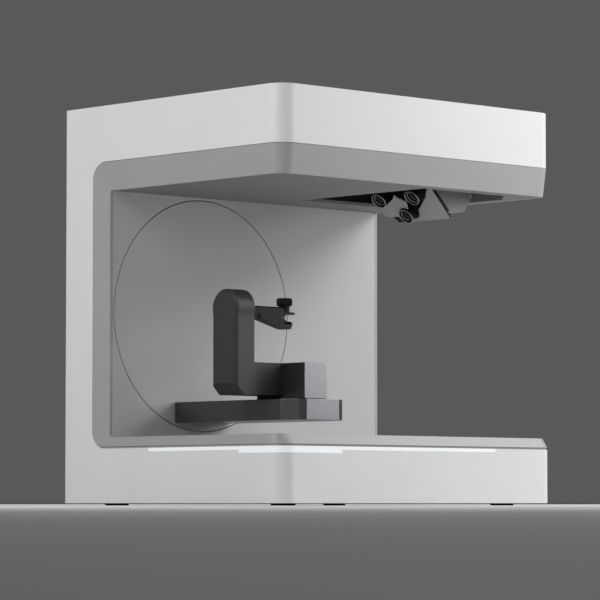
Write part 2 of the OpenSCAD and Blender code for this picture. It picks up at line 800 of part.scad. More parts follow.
module main_board() {
    color("darkgreen") difference() {
        translate([10, -100, foot_h + 14]) cube([130, 150, 1.6]);
        for (x = [16, 134], y = [-94, 44]) translate([x, y, foot_h]) cylinder(h = 30, r = 1.6);
    }
    color("silver") for (x = [16, 134], y = [-94, 44])
        translate([x, y, foot_h + bottom_t]) cylinder(h = 14 - bottom_t, r = 3);
    color("dimgray") {
        translate([50, -50, foot_h + 15.6]) cube([36, 36, 3]);
        translate([52, -48, foot_h + 18.6]) for (i = [0 : 7])
            translate([i * 4.2, 0, 0]) cube([1.6, 32, 9]);
        translate([100, -80, foot_h + 15.6]) cube([20, 12, 2]);
        translate([24, 14, foot_h + 15.6]) cube([30, 8, 7]);
        translate([104, 0, foot_h + 15.6]) cylinder(h = 12, r = 5);
        translate([118, 0, foot_h + 15.6]) cylinder(h = 12, r = 5);
    }
}

module power_supply() color("lightgray") difference() {
    translate([-140, -80, foot_h + bottom_t]) cube([96, 130, 38]);
    for (y = [-70 : 8 : 34]) translate([-141, y, foot_h + 14])
        rotate([90, 0, 90]) linear_extrude(98) round_rect(0, 0, 4, 18, 1.9);
    translate([-137.5, -77.5, foot_h + bottom_t + 3]) cube([91, 125, 32]);
}

// ---------- camera head ----------

// Local frame of the head: +Z along its line of sight, +X up the slope, +Y to the rear
module at_head() {
    translate([head_right, head_y, head_z]) rotate([0, head_tilt - 180, 0]) children();
}

// Height and distance to the right of a point on a plane behind the lenses
function head_point(s, back) = [
    head_right + s * cos(head_tilt) + back * sin(head_tilt),
    head_z - s * sin(head_tilt) + back * cos(head_tilt),
];

module head_tray() color("dimgray") translate([0, 0, ceiling_z + liner_t]) difference() {
    linear_extrude(recess_h) recess_plan(-tray_t);
    translate([0, 0, -1]) linear_extrude(recess_h - tray_t + 1) recess_plan(0);
}

// Outline of the faceplate on the head's slope, drawn in by e
module face_outline(e) {
    polygon([
        [-face_down + e, -face_front + e], [face_up - e, -face_front + e],
        [face_up - e, face_rear_high - e], [-face_down + e, face_rear_low - e],
    ]);
}

// Distance down the slope of a height, on a plane behind the lenses
function slope_at(z, back) = (head_z + back * cos(head_tilt) - z) / sin(head_tilt);

// Faceted hood behind the faceplate, with a groove between the two and a neck to the tray
module head_housing() color("gray") {
    back = face_back + faceplate_t + groove_w;
    low = head_point(slope_at(hood_bottom_z, back), back);
    high = head_point(slope_at(hood_top_z, back), back);
    y0 = head_y - face_front;
    y1 = head_y + face_rear_low;
    y2 = head_y + face_rear_high;
    polyhedron(
        points = [
            [low[0], y0, low[1]], [hood_right_low, y0, low[1]],
            [hood_right_low, y1, low[1]], [low[0], y1, low[1]],
            [high[0], y0, high[1]], [hood_right_high, y0, high[1]],
            [hood_right_high, y2, high[1]], [high[0], y2, high[1]],
        ],
        faces = [
            [0, 1, 2, 3], [4, 7, 6, 5], [0, 4, 5, 1], [1, 5, 6, 2], [2, 6, 7, 3], [3, 7, 4, 0],
        ]
    );
    translate([high[0] + head_neck_inset, head_y - head_neck_d / 2, high[1] - eps])
        cube([hood_right_high - high[0] - 2 * head_neck_inset, head_neck_d,
            tray_top - tray_t - high[1] + eps]);
    at_head() translate([0, 0, -back - eps]) linear_extrude(groove_w + eps)
        intersection() {
            face_outline(groove_in);
            translate([-slope_at(hood_bottom_z, back) + groove_in, -face_front])
                square([face_down, 2 * face_front]);
        }
}

// Carrier plate of the three lenses
module head_faceplate() color("dimgray") at_head()
    translate([0, 0, -face_back - faceplate_t]) linear_extrude(faceplate_t) difference() {
        face_outline(0);
        for (y = [-1, 1]) translate([0, y * camera_spread]) circle(barrel_r - 2);
        translate([-projector_drop, 0]) circle(barrel_r - 2);
    }

// Light sheet over the front corner of the carrier plate
module head_cheek() color("lightgray") at_head()
    translate([0, 0, -face_back]) linear_extrude(cheek_t) difference() {
        polygon([
            [face_up - 2, -face_front], [-face_down, -face_front], [-face_down, face_rear_low - 6],
            [-face_down + 3, 4], [-projector_drop * 0.6, -camera_spread], [face_up - 2, -face_front + 3],
        ]);
        for (p = lens_places) translate(p) circle(barrel_r + 1.8);
    }

lens_places = [[0, camera_spread], [0, -camera_spread], [-projector_drop, 0]];

// Light plate between the lenses, on a post from the carrier plate
module lens_bracket() color("lightgray") at_head() {
    a = camera_spread;
    d = projector_drop;
    translate([0, 0, -bracket_back - bracket_t]) linear_extrude(bracket_t) difference() {
        polygon([
            [0.15 * d, 0.07 * a], [0, -0.04 * a], [-0.27 * d, -0.39 * a], [-0.8 * d, -0.2 * a],
            [-1.06 * d, 0.4 * a], [-1.05 * d, 0.66 * a], [-1.02 * d, 1.26 * a],
            [-0.82 * d, 1.33 * a], [-0.48 * d, 1.2 * a], [-0.36 * d, 0.9 * a],
            [-0.08 * d, 0.31 * a],
        ]);
        for (p = lens_places) translate(p) circle(barrel_r + 0.4);
    }
    translate([-0.4 * d, 0.22 * a, -face_back])
        cylinder(h = face_back - bracket_back - bracket_t + eps, r = 2.6);
}

glass_r = 5.4;
glass_t = 1.6;
glass_back = 3.2;

// Lens barrel: a stepped, grooved tube with a bright front ring and a seat for its glass
module barrel() {
    r = barrel_r;
    l = barrel_l;
    rotate_extrude() polygon([
        [0, -l], [r + 1.2, -l], [r + 1.2, -l + 1.6], [r - 0.8, -l + 1.6], [r - 0.8, -l + 3],
        [r - 0.2, -l + 3.4], [r - 0.2, -l + 4.6], [r - 0.8, -l + 5], [r - 0.8, -2.4],
        [r, -2], [r, -0.4], [r - 0.4, 0], [r - 1.2, 0], [glass_r, -glass_back + glass_t],
        [glass_r, -glass_back], [glass_r - 1, -glass_back], [glass_r - 1.6, -l + 2], [0, -l + 2],
    ]);
}

module rear_camera() color("black") at_head() translate([0, camera_spread, 0]) barrel();
module front_camera() color("black") at_head() translate([0, -camera_spread, 0]) barrel();
module projector() color("black") at_head() translate([-projector_drop, 0, 0]) barrel();

// Shallow dome of glass in each barrel
module lens_glasses() color("darkslategray") at_head()
    for (p = lens_places)
        translate([p[0], p[1], -glass_back]) rotate_extrude() intersection() {
            translate([0, glass_t - 14]) circle(14, $fn = 96);
            square([glass_r, glass_t]);
        }

// ---------- swing stage ----------

module swing_disc() color("silver") difference() {
    translate([swing_x, 0, swing_z]) along_y(wall_y) cylinder(h = disc_t, r = disc_r, $fn = 128);
    for (p = bolt_places) translate([p[0], 0, p[1]]) {
        along_y(wall_y - 1) cylinder(h = disc_t + 2, r = bolt_r + 0.2);
        along_y(disc_back - bolt_head_h) cylinder(h = disc_t, r = bolt_head_r + 0.3);
    }
}

module swing_hub() color("gray") translate([swing_x, 0, swing_z]) {
    along_y(disc_back) cylinder(h = hub_back - disc_back, r = hub_r);
    along_y(hub_back - eps) cylinder(h = shaft_back - hub_back + eps, r = shaft_r);
}

module swing_gear() color("goldenrod") translate([swing_x, 0, swing_z])
    along_y(gear_y) difference() {
        linear_extrude(swing_gear_w) polygon(gear_outline(swing_teeth, swing_module));
        translate([0, 0, -1]) cylinder(h = swing_gear_w + 2, r = hub_r);
        for (a = [30 : 60 : 330]) rotate(a) translate([(hub_r + swing_gear_r) / 2, 0, -1])
            cylinder(h = swing_gear_w + 2, r = 8);
    }

// Pinion on the swing motor's shaft, half a tooth round so that it meshes
module swing_pinion() color("silver") translate([motor_x, 0, swing_z]) {
    along_y(gear_y) rotate(180 + 180 / swing_pinion_teeth)
        linear_extrude(swing_gear_w) polygon(gear_outline(swing_pinion_teeth, swing_module));
    along_y(gear_y + swing_gear_w - eps)
        cylinder(h = chassis_y + chassis_t + 8 - gear_y - swing_gear_w, r = motor_shaft_r);
}

module shaft_collar() color("silver") translate([swing_x, 0, swing_z]) along_y(collar_y)
    ring(shaft_r + 6, shaft_r, collar_w);

// Plan of the arm, drawn in by e, with its root face at y1
module arm_plan(e, y1) {
    half = arm_w / 2 - e;
    nose = nose_w / 2 - e * 0.1;
    shoulder = nose_w / 2 + (arm_w - nose_w) * 0.23 - e * 0.6;
    y0 = arm_front + e;
    y_shoulder = arm_front + nose_l * 0.14 + e * 0.9;
    y_side = arm_front + nose_l + e * 0.2;
    translate([swing_x, 0]) polygon([
        [-half, y1], [-half, y_side], [-shoulder, y_shoulder], [-nose, y0],
        [nose, y0], [shoulder, y_shoulder], [half, y_side], [half, y1],
    ]);
}

module swing_arm() color("dimgray") difference() {
    union() {
        difference() {
            translate([0, 0, arm_z]) linear_extrude(arm_t) arm_plan(0, wall_y);
            translate([0, 0, arm_z - 1]) linear_extrude(arm_t - arm_wall + 1)
                arm_plan(arm_wall, wall_y - arm_root);
        }
        translate([swing_x, turn_y, spindle_bearing_z])
            cylinder(h = arm_top - spindle_bearing_z, r = spindle_boss_r);
    }
    translate([swing_x, turn_y, spindle_bearing_z - 1])
        cylinder(h = arm_top - spindle_bearing_z + 2, r = spindle_bearing_r);
    for (p = bolt_places) translate([p[0], 0, p[1]])
        along_y(wall_y - arm_root + 2) cylinder(h = arm_root, r = bolt_r + 0.1);
}

// Bolts through the disc into the root of the arm
module arm_screws() color("silver") for (p = bolt_places)
    translate([p[0], 0, p[1]]) {
        along_y(disc_back - bolt_head_h) cylinder(h = bolt_head_h, r = bolt_head_r);
        along_y(wall_y - arm_root + 3) cylinder(h = arm_root - 3 + disc_t - bolt_head_h, r = bolt_r);
    }

module arm_cover() color("dimgray") translate([0, 0, arm_z]) linear_extrude(arm_wall - 0.5)
    arm_plan(arm_wall + panel_gap, wall_y - arm_root - panel_gap);

module turntable_bearing() color("silver") translate([swing_x, turn_y, spindle_bearing_z])
    ring(spindle_bearing_r, spindle_r + run_fit, arm_top - spindle_bearing_z);

// Flat motor hung from the roof of the arm
module turntable_motor() color("gray") translate([swing_x, turn_motor_y, 0]) difference() {
    translate([0, 0, turn_motor_z])
        cylinder(h = arm_top - arm_wall - turn_motor_z, r = turn_motor_r);
    translate([0, 0, turn_motor_z - 1]) cylinder(h = 5, r = pinion_shaft_r + run_fit);
}

// ---------- turntable and holder ----------

module turntable_shaft() color("silver") translate([swing_x, turn_y, turn_gear_z - 0.6])
    cylinder(h = platter_top - turn_gear_z + 0.6, r = spindle_r);

module turntable_gear() color("goldenrod") translate([swing_x, turn_y, turn_gear_z])
    difference() {
        rotate(90) linear_extrude(turn_gear_w) polygon(gear_outline(turn_teeth, turn_module));
        translate([0, 0, -1]) cylinder(h = turn_gear_w + 2, r = spindle_r);
    }

module turntable_pinion() color("silver") translate([swing_x, turn_motor_y, turn_gear_z]) {
    rotate(-90 + 180 / turn_pinion_teeth)
        linear_extrude(turn_gear_w) polygon(gear_outline(turn_pinion_teeth, turn_module));
    translate([0, 0, turn_gear_w - eps])
        cylinder(h = turn_motor_z - turn_gear_z - turn_gear_w + 3, r = pinion_shaft_r);
}

module turntable_platter() color("black") translate([swing_x, turn_y, platter_z])
    difference() {
        rotate_extrude() polygon([
            [0, 0], [platter_r - 0.6, 0], [platter_r, 0.6], [platter_r, platter_t - 0.6],
            [platter_r - 0.6, platter_t], [0, platter_t],
        ]);
        translate([0, 0, -1]) cylinder(h = platter_t + 2, r = spindle_r);
    }

module holder_block() color("dimgray") difference() {
    along_y(turn_y - block_front) linear_extrude(block_front + column_d / 2) union() {
        translate([block_x, block_z])
            square([block_left + block_right, block_top - block_z - block_r]);
        translate([block_x, block_z])
            square([block_left + block_right - block_r, block_top - block_z]);
        translate([swing_x + block_right - block_r, block_top - block_r]) circle(block_r);
    }
    translate([swing_x, turn_y, block_z - 1])
        cylinder(h = platter_top - block_z + 1, r = platter_r + 0.3);
}

// Plan of the column and foot at a half-depth, with the chamfers of the outer face
module column_plan(half) {
    polygon([
        [column_x, turn_y - half + column_edge], [column_x + column_edge, turn_y - half],
        [block_x, turn_y - half], [block_x, turn_y + half],
        [column_x + column_edge, turn_y + half], [column_x, turn_y + half - column_edge],
    ]);
}

// Blend from the column's flat faces out to its round head
module column_blend() difference() {
    translate([0, 0, blend_z]) linear_extrude(knuckle_z - blend_z) column_plan(knuckle_r);
    for (side = [-1, 1]) along_x(column_x)
        translate([turn_y + side * (column_d / 2 + blend_r), blend_z, 0]) {
            cylinder(h = column_edge, r1 = blend_r + column_edge, r2 = blend_r, $fn = 96);
            translate([0, 0, column_edge]) cylinder(h = column_out, r = blend_r, $fn = 96);
        }
}

module column_head() along_x(column_x) translate([turn_y, swing_z, 0]) {
    cylinder(h = column_edge, r1 = knuckle_r - column_edge, r2 = knuckle_r, $fn = 96);
    translate([0, 0, column_edge]) cylinder(h = column_out, r = knuckle_r, $fn = 96);
}

// L-shaped bracket: a foot on the platter and a column with a round head
module holder_bracket() color("dimgray") intersection() {
    along_y(turn_y - column_d) linear_extrude(2 * column_d) polygon([
        [column_x, platter_top + column_chamfer], [column_x + column_chamfer, platter_top],
        [block_x, platter_top], [block_x, platter_top + foot_bar_h],
        [column_face_x, platter_top + foot_bar_h], [column_face_x, swing_z + column_d],
        [column_x, swing_z + column_d],
    ]);
    union() {
        translate([0, 0, platter_top - 1]) linear_extrude(swing_z - platter_top + 1)
            column_plan(column_d / 2);
        column_blend();
        column_head();
    }
}

// Fixed lower jaw: a beam with chamfered upper edges that thickens towards its tip,
// with a notch that bares the screw and a step under the knob
module clamp_body() color("black") difference() {
    intersection() {
        along_y(turn_y - jaw_d / 2) linear_extrude(jaw_d) polygon([
            [column_face_x, jaw_z], [swing_x - 1, lower_jaw_z - lower_jaw_h],
            [swing_x + jaw_reach * 0.32, lower_jaw_z - lower_jaw_h],
            [swing_x + jaw_reach * 0.52, lower_jaw_z - lower_jaw_h / 2],
            [screw_x - 3.6, lower_jaw_z], [jaw_root_x - move_gap, lower_jaw_z],
            [jaw_root_x - move_gap, knob_step_z], [knob_step_x, knob_step_z],
            [knob_step_x, clamp_top], [column_face_x, clamp_top],
        ]);
        along_x(column_x) linear_extrude(2 * column_out) polygon([
            [turn_y - jaw_d / 2, screw_bottom - 3], [turn_y + jaw_d / 2, screw_bottom - 3],
            [turn_y + jaw_d / 2, clamp_top - clamp_edge],
            [turn_y + jaw_d / 2 - clamp_edge, clamp_top],
            [turn_y - jaw_d / 2 + clamp_edge, clamp_top],
            [turn_y - jaw_d / 2, clamp_top - clamp_edge],
        ]);
    }
    translate([screw_x, turn_y, lower_jaw_z - lower_jaw_h - 1])
        cylinder(h = lower_jaw_h + 2, r = screw_r + run_fit);
    translate([screw_x - 8, turn_y - jaw_d, lower_jaw_z - notch_h])
        cube([8 + screw_r + 0.7, jaw_d - screw_r - 0.5, notch_h + 1]);
}

// Upper jaw: a thin plate with a pointed tip that the screw draws down
module clamp_jaw() color("black") translate([0, 0, jaw_z]) difference() {
    linear_extrude(jaw_t) polygon([
        [jaw_root_x, turn_y - jaw_d / 2], [screw_x + 5, turn_y - jaw_d / 2],
        [jaw_tip_x, turn_y - 2], [jaw_tip_x, turn_y + 2],
        [screw_x + 5, turn_y + jaw_d / 2], [jaw_root_x, turn_y + jaw_d / 2],
    ]);
    translate([screw_x, turn_y, -1]) cylinder(h = jaw_t + 2, r = screw_r + run_fit);
}

screw_bottom = lower_jaw_z - lower_jaw_h + 1.6;

module clamp_screw() color("silver") translate([screw_x, turn_y, screw_bottom])
    cylinder(h = knob_z + knob_h - 2 - screw_bottom, r = screw_r);

module clamp_knob() color("black") translate([screw_x, turn_y, 0]) difference() {
    union() {
        translate([0, 0, knob_z - neck_h + 0.1]) cylinder(h = neck_h, r = knob_neck_r);
        translate([0, 0, knob_z]) cylinder(h = 1, r1 = knob_r - 1, r2 = knob_r);
        translate([0, 0, knob_z + 1]) cylinder(h = knob_h - 2, r = knob_r);
        translate([0, 0, knob_z + knob_h - 1]) cylinder(h = 1, r1 = knob_r, r2 = knob_r - 1);
    }
    for (i = [0 : knob_flutes - 1]) rotate(i * 360 / knob_flutes)
        translate([knob_r + 0.25, 0, knob_z - 1]) cylinder(h = knob_h + 2, r = 0.7, $fn = 16);
    translate([0, 0, knob_z - neck_h - 1]) cylinder(h = neck_h + knob_h - 1, r = screw_r);
}

casing();
bezel();
back_panel();
ceiling_panel();
floor_panel();
rear_cover();
bottom_plate();
feet();
floor_posts();
light_bar();
led_board();
chassis_plate();
bearing_block();
swing_bearing();
swing_motor();
head_tray();
head_housing();
head_faceplate();
head_cheek();
lens_bracket();
rear_camera();
front_camera();
projector();
lens_glasses();
main_board();
power_supply();
fan_frame();
power_inlet();
data_socket();
power_switch();
rear_screws();
swing_disc();
swing_hub();
swing_gear();
shaft_collar();
swing_arm();
arm_cover();
arm_screws();
turntable_motor();
turntable_bearing();
swing_pinion();
turntable_shaft();
turntable_gear();
turntable_platter();
holder_block();
holder_bracket();
clamp_body();
turntable_pinion();
clamp_jaw();
clamp_screw();
clamp_knob();
fan_rotor();
power_button();
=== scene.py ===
"""Looks of a desktop 3D scanner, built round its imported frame.

The frame gives every rigid piece its true shape and place. This script breaks the pieces' sharp
edges, adds the forms that are too fine for the frame, gives each piece the finish of the real
material, and sets up the studio. Lengths are in metres unless a name ends in _mm.
"""

import logging
import math
from dataclasses import dataclass, field
from enum import Enum
from typing import Any, ClassVar

import bmesh
import bpy
from mathutils import Matrix, Vector


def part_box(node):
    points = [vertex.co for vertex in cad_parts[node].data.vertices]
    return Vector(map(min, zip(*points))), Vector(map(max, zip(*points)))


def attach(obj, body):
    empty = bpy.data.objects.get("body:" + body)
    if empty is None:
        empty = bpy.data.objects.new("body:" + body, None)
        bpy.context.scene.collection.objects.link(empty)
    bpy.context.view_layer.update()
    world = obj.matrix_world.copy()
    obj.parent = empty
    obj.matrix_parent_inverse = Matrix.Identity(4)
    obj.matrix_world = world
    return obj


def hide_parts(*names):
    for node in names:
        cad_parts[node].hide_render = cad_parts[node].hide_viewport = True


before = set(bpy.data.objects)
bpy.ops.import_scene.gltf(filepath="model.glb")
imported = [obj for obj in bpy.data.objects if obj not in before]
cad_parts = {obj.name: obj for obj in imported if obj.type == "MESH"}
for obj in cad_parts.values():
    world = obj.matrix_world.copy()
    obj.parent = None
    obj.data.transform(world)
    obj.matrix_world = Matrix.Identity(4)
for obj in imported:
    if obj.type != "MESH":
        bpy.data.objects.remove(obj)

MM = 0.001
# Vertices nearer than this are one, and faces flatter than this are joined.
WELD_MM = 0.002
FLAT_DEG = 0.05
SHARP_DEG = 32.0
log = logging.getLogger("scanner")


def linear(code: str) -> tuple[float, float, float, float]:
    """Turns an sRGB hex colour into linear RGBA.

    Args:
        code: Six hex digits with a leading hash.

    Returns:
        Red, green, blue and alpha for a shader socket.
    """
    parts = [int(code[i : i + 2], 16) / 255 for i in (1, 3, 5)]
    red, green, blue = (c / 12.92 if c <= 0.04045 else ((c + 0.055) / 1.055) ** 2.4 for c in parts)
    return red, green, blue, 1.0


def add_node(
    tree: bpy.types.NodeTree, kind: str, inputs: dict[Any, Any] | None = None, **settings: Any
) -> bpy.types.Node:
    """Adds a node, sets its properties, and fills or links its inputs.

    Args:
        tree: The node tree that gets the node.
        kind: Blender's name for the node's type.
        inputs: Socket name or number, and the value or the output socket that feeds it.
        **settings: Properties of the node itself.

    Returns:
        The new node.
    """
    node = tree.nodes.new(kind)
    for name, value in settings.items():
        setattr(node, name, value)
    for name, value in (inputs or {}).items():
        if isinstance(value, bpy.types.NodeSocket):
            tree.links.new(value, node.inputs[name])
        else:
            node.inputs[name].default_value = value
    return node


class Grain(Enum):
    """How a surface was made, which sets its pattern."""

    SPARKED = "spark-eroded mould texture"
    POWDER = "orange peel of a powder coat"
    BLASTED = "bead-blasted metal"
    TURNED = "turned or ground metal"
    POLISHED = "polished"


@dataclass(frozen=True)
class Finish:
    """One real material with one surface.

    The pattern's sizes are real sizes in millimetres. A grain finer than about half a pixel of the
    render is drawn as coarse as it needs to show.
    """

    name: str
    slot: str
    colour: str
    shade: str
    roughness: float
    grain: Grain
    grain_mm: float
    depth_mm: float
    metallic: float = 0.0
    ior: float = 1.5
    coat: float = 0.0
    specular: float = 0.5

    CLOUD_MM: ClassVar[float] = 60.0
    CLOUD_DETAIL: ClassVar[float] = 3.0
    GRAIN_SHARE: ClassVar[float] = 0.35
    TONE_RANGE: ClassVar[tuple[float, float]] = (0.3, 0.7)
    GLOSS_RANGE: ClassVar[tuple[float, float]] = (0.9, 1.12)
    NOISE_ROUGHNESS: ClassVar[float] = 0.55
    COAT_ROUGHNESS: ClassVar[float] = 0.12

    def material(self) -> bpy.types.Material:
        """Builds the material, or finds it when it is there already.

        Returns:
            The material, named for this finish.
        """
        found = bpy.data.materials.get(self.name)
        if found is not None:
            return found
        made = bpy.data.materials.new(self.name)
        made.use_nodes = True
        tree = made.node_tree
        tree.nodes.clear()
        shader = add_node(tree, "ShaderNodeBsdfPrincipled", {"Metallic": self.metallic})
        if self.metallic < 1.0:
            shader.inputs["IOR"].default_value = self.ior
            shader.inputs["Specular IOR Level"].default_value = self.specular
        if self.coat > 0.0:
            shader.inputs["Coat Weight"].default_value = self.coat
            shader.inputs["Coat Roughness"].default_value = self.COAT_ROUGHNESS
        place = add_node(tree, "ShaderNodeTexCoord").outputs["Object"]
        self.dress(tree, shader, place)
        add_node(tree, "ShaderNodeOutputMaterial", {"Surface": shader.outputs["BSDF"]})
        return made

    def dress(
        self, tree: bpy.types.NodeTree, shader: bpy.types.Node, place: bpy.types.NodeSocket
    ) -> None:
        """Feeds colour, roughness and bump into the shader.

        Args:
            tree: The material's node tree.
            shader: The Principled node.
            place: The point on the surface, in metres.
        """
        cloud = add_node(
            tree,
            "ShaderNodeTexNoise",
            {"Vector": place, "Scale": 1 / (self.CLOUD_MM * MM), "Detail": self.CLOUD_DETAIL},
        ).outputs["Fac"]
        height = self.height(tree, place)
        tone = add_node(
            tree,
            "ShaderNodeMix",
            {0: self.blend(tree, cloud, height), "A": linear(self.shade), "B": linear(self.colour)},
            data_type="RGBA",
        )
        tree.links.new(tone.outputs[2], shader.inputs["Base Color"])
        smoothest, roughest = (self.roughness * share for share in self.GLOSS_RANGE)
        gloss = add_node(
            tree,
            "ShaderNodeMapRange",
            {"Value": height, "To Min": smoothest, "To Max": min(roughest, 1.0)},
        )
        tree.links.new(gloss.outputs["Result"], shader.inputs["Roughness"])
        bump = add_node(
            tree,
            "ShaderNodeBump",
            {"Height": height, "Distance": self.depth_mm * MM, "Strength": 1.0},
        )
        tree.links.new(bump.outputs["Normal"], shader.inputs["Normal"])

    def blend(
        self, tree: bpy.types.NodeTree, cloud: bpy.types.NodeSocket, height: bpy.types.NodeSocket
    ) -> bpy.types.NodeSocket:
        """Mixes the broad cloud with the grain into one factor.

        Args:
            tree: The material's node tree.
            cloud: Broad, slow variation, such as uneven paint.
            height: The grain itself.

        Returns:
            A factor from 0 to 1.
        """
        mixed = add_node(
            tree,
            "ShaderNodeMix",
            {0: self.GRAIN_SHARE, "A": cloud, "B": height},
            data_type="FLOAT",
        )
        low, high = self.TONE_RANGE
        spread = add_node(
            tree,
            "ShaderNodeMapRange",
            {"Value": mixed.outputs[0], "From Min": low, "From Max": high},
        )
        return spread.outputs["Result"]

    def height(
        self, tree: bpy.types.NodeTree, place: bpy.types.NodeSocket
    ) -> bpy.types.NodeSocket:
        """Builds the grain.

        Args:
            tree: The material's node tree.
            place: The point on the surface, in metres.

        Returns:
            A height from 0 to 1.
        """
        scale = 1 / (self.grain_mm * MM)
        if self.grain is Grain.SPARKED:
            pits = add_node(
                tree,
                "ShaderNodeTexVoronoi",
                {"Vector": place, "Scale": scale, "Randomness": 1.0},
                feature="SMOOTH_F1",
            )
            return pits.outputs["Distance"]
        detail = {Grain.POWDER: 1.0, Grain.BLASTED: 4.0, Grain.TURNED: 6.0, Grain.POLISHED: 0.0}
        noise = add_node(
            tree,
            "ShaderNodeTexNoise",
            {
                "Vector": place,
                "Scale": scale,
                "Detail": detail[self.grain],
                "Roughness": self.NOISE_ROUGHNESS,
            },
        )
        return noise.outputs["Fac"]


@dataclass(frozen=True)
class GlowFinish(Finish):
    """A diffuser that is lit from behind."""

    strength: float = 1.0

    def dress(
        self, tree: bpy.types.NodeTree, shader: bpy.types.Node, place: bpy.types.NodeSocket
    ) -> None:
        """Adds the light that comes through the diffuser.

        Args:
            tree: The material's node tree.
            shader: The Principled node.
            place: The point on the surface, in metres.
        """
        super().dress(tree, shader, place)
        shader.inputs["Emission Color"].default_value = linear(self.colour)
        shader.inputs["Emission Strength"].default_value = self.strength


@dataclass(frozen=True)
class LensFinish(Finish):
    """Optical glass with a coating that leaves a faint green.

    The shade tints the reflections, and the colour is the glass itself.
    """

    transmission: float = 0.92

    def dress(
        self, tree: bpy.types.NodeTree, shader: bpy.types.Node, place: bpy.types.NodeSocket
    ) -> None:
        """Makes the glass clear and tints it.

        Args:
            tree: The material's node tree.
            shader: The Principled node.
            place: The point on the surface, in metres.
        """
        shader.inputs["Base Color"].default_value = linear(self.colour)
        shader.inputs["Roughness"].default_value = self.roughness
        shader.inputs["Transmission Weight"].default_value = self.transmission
        shader.inputs["Specular Tint"].default_value = linear(self.shade)


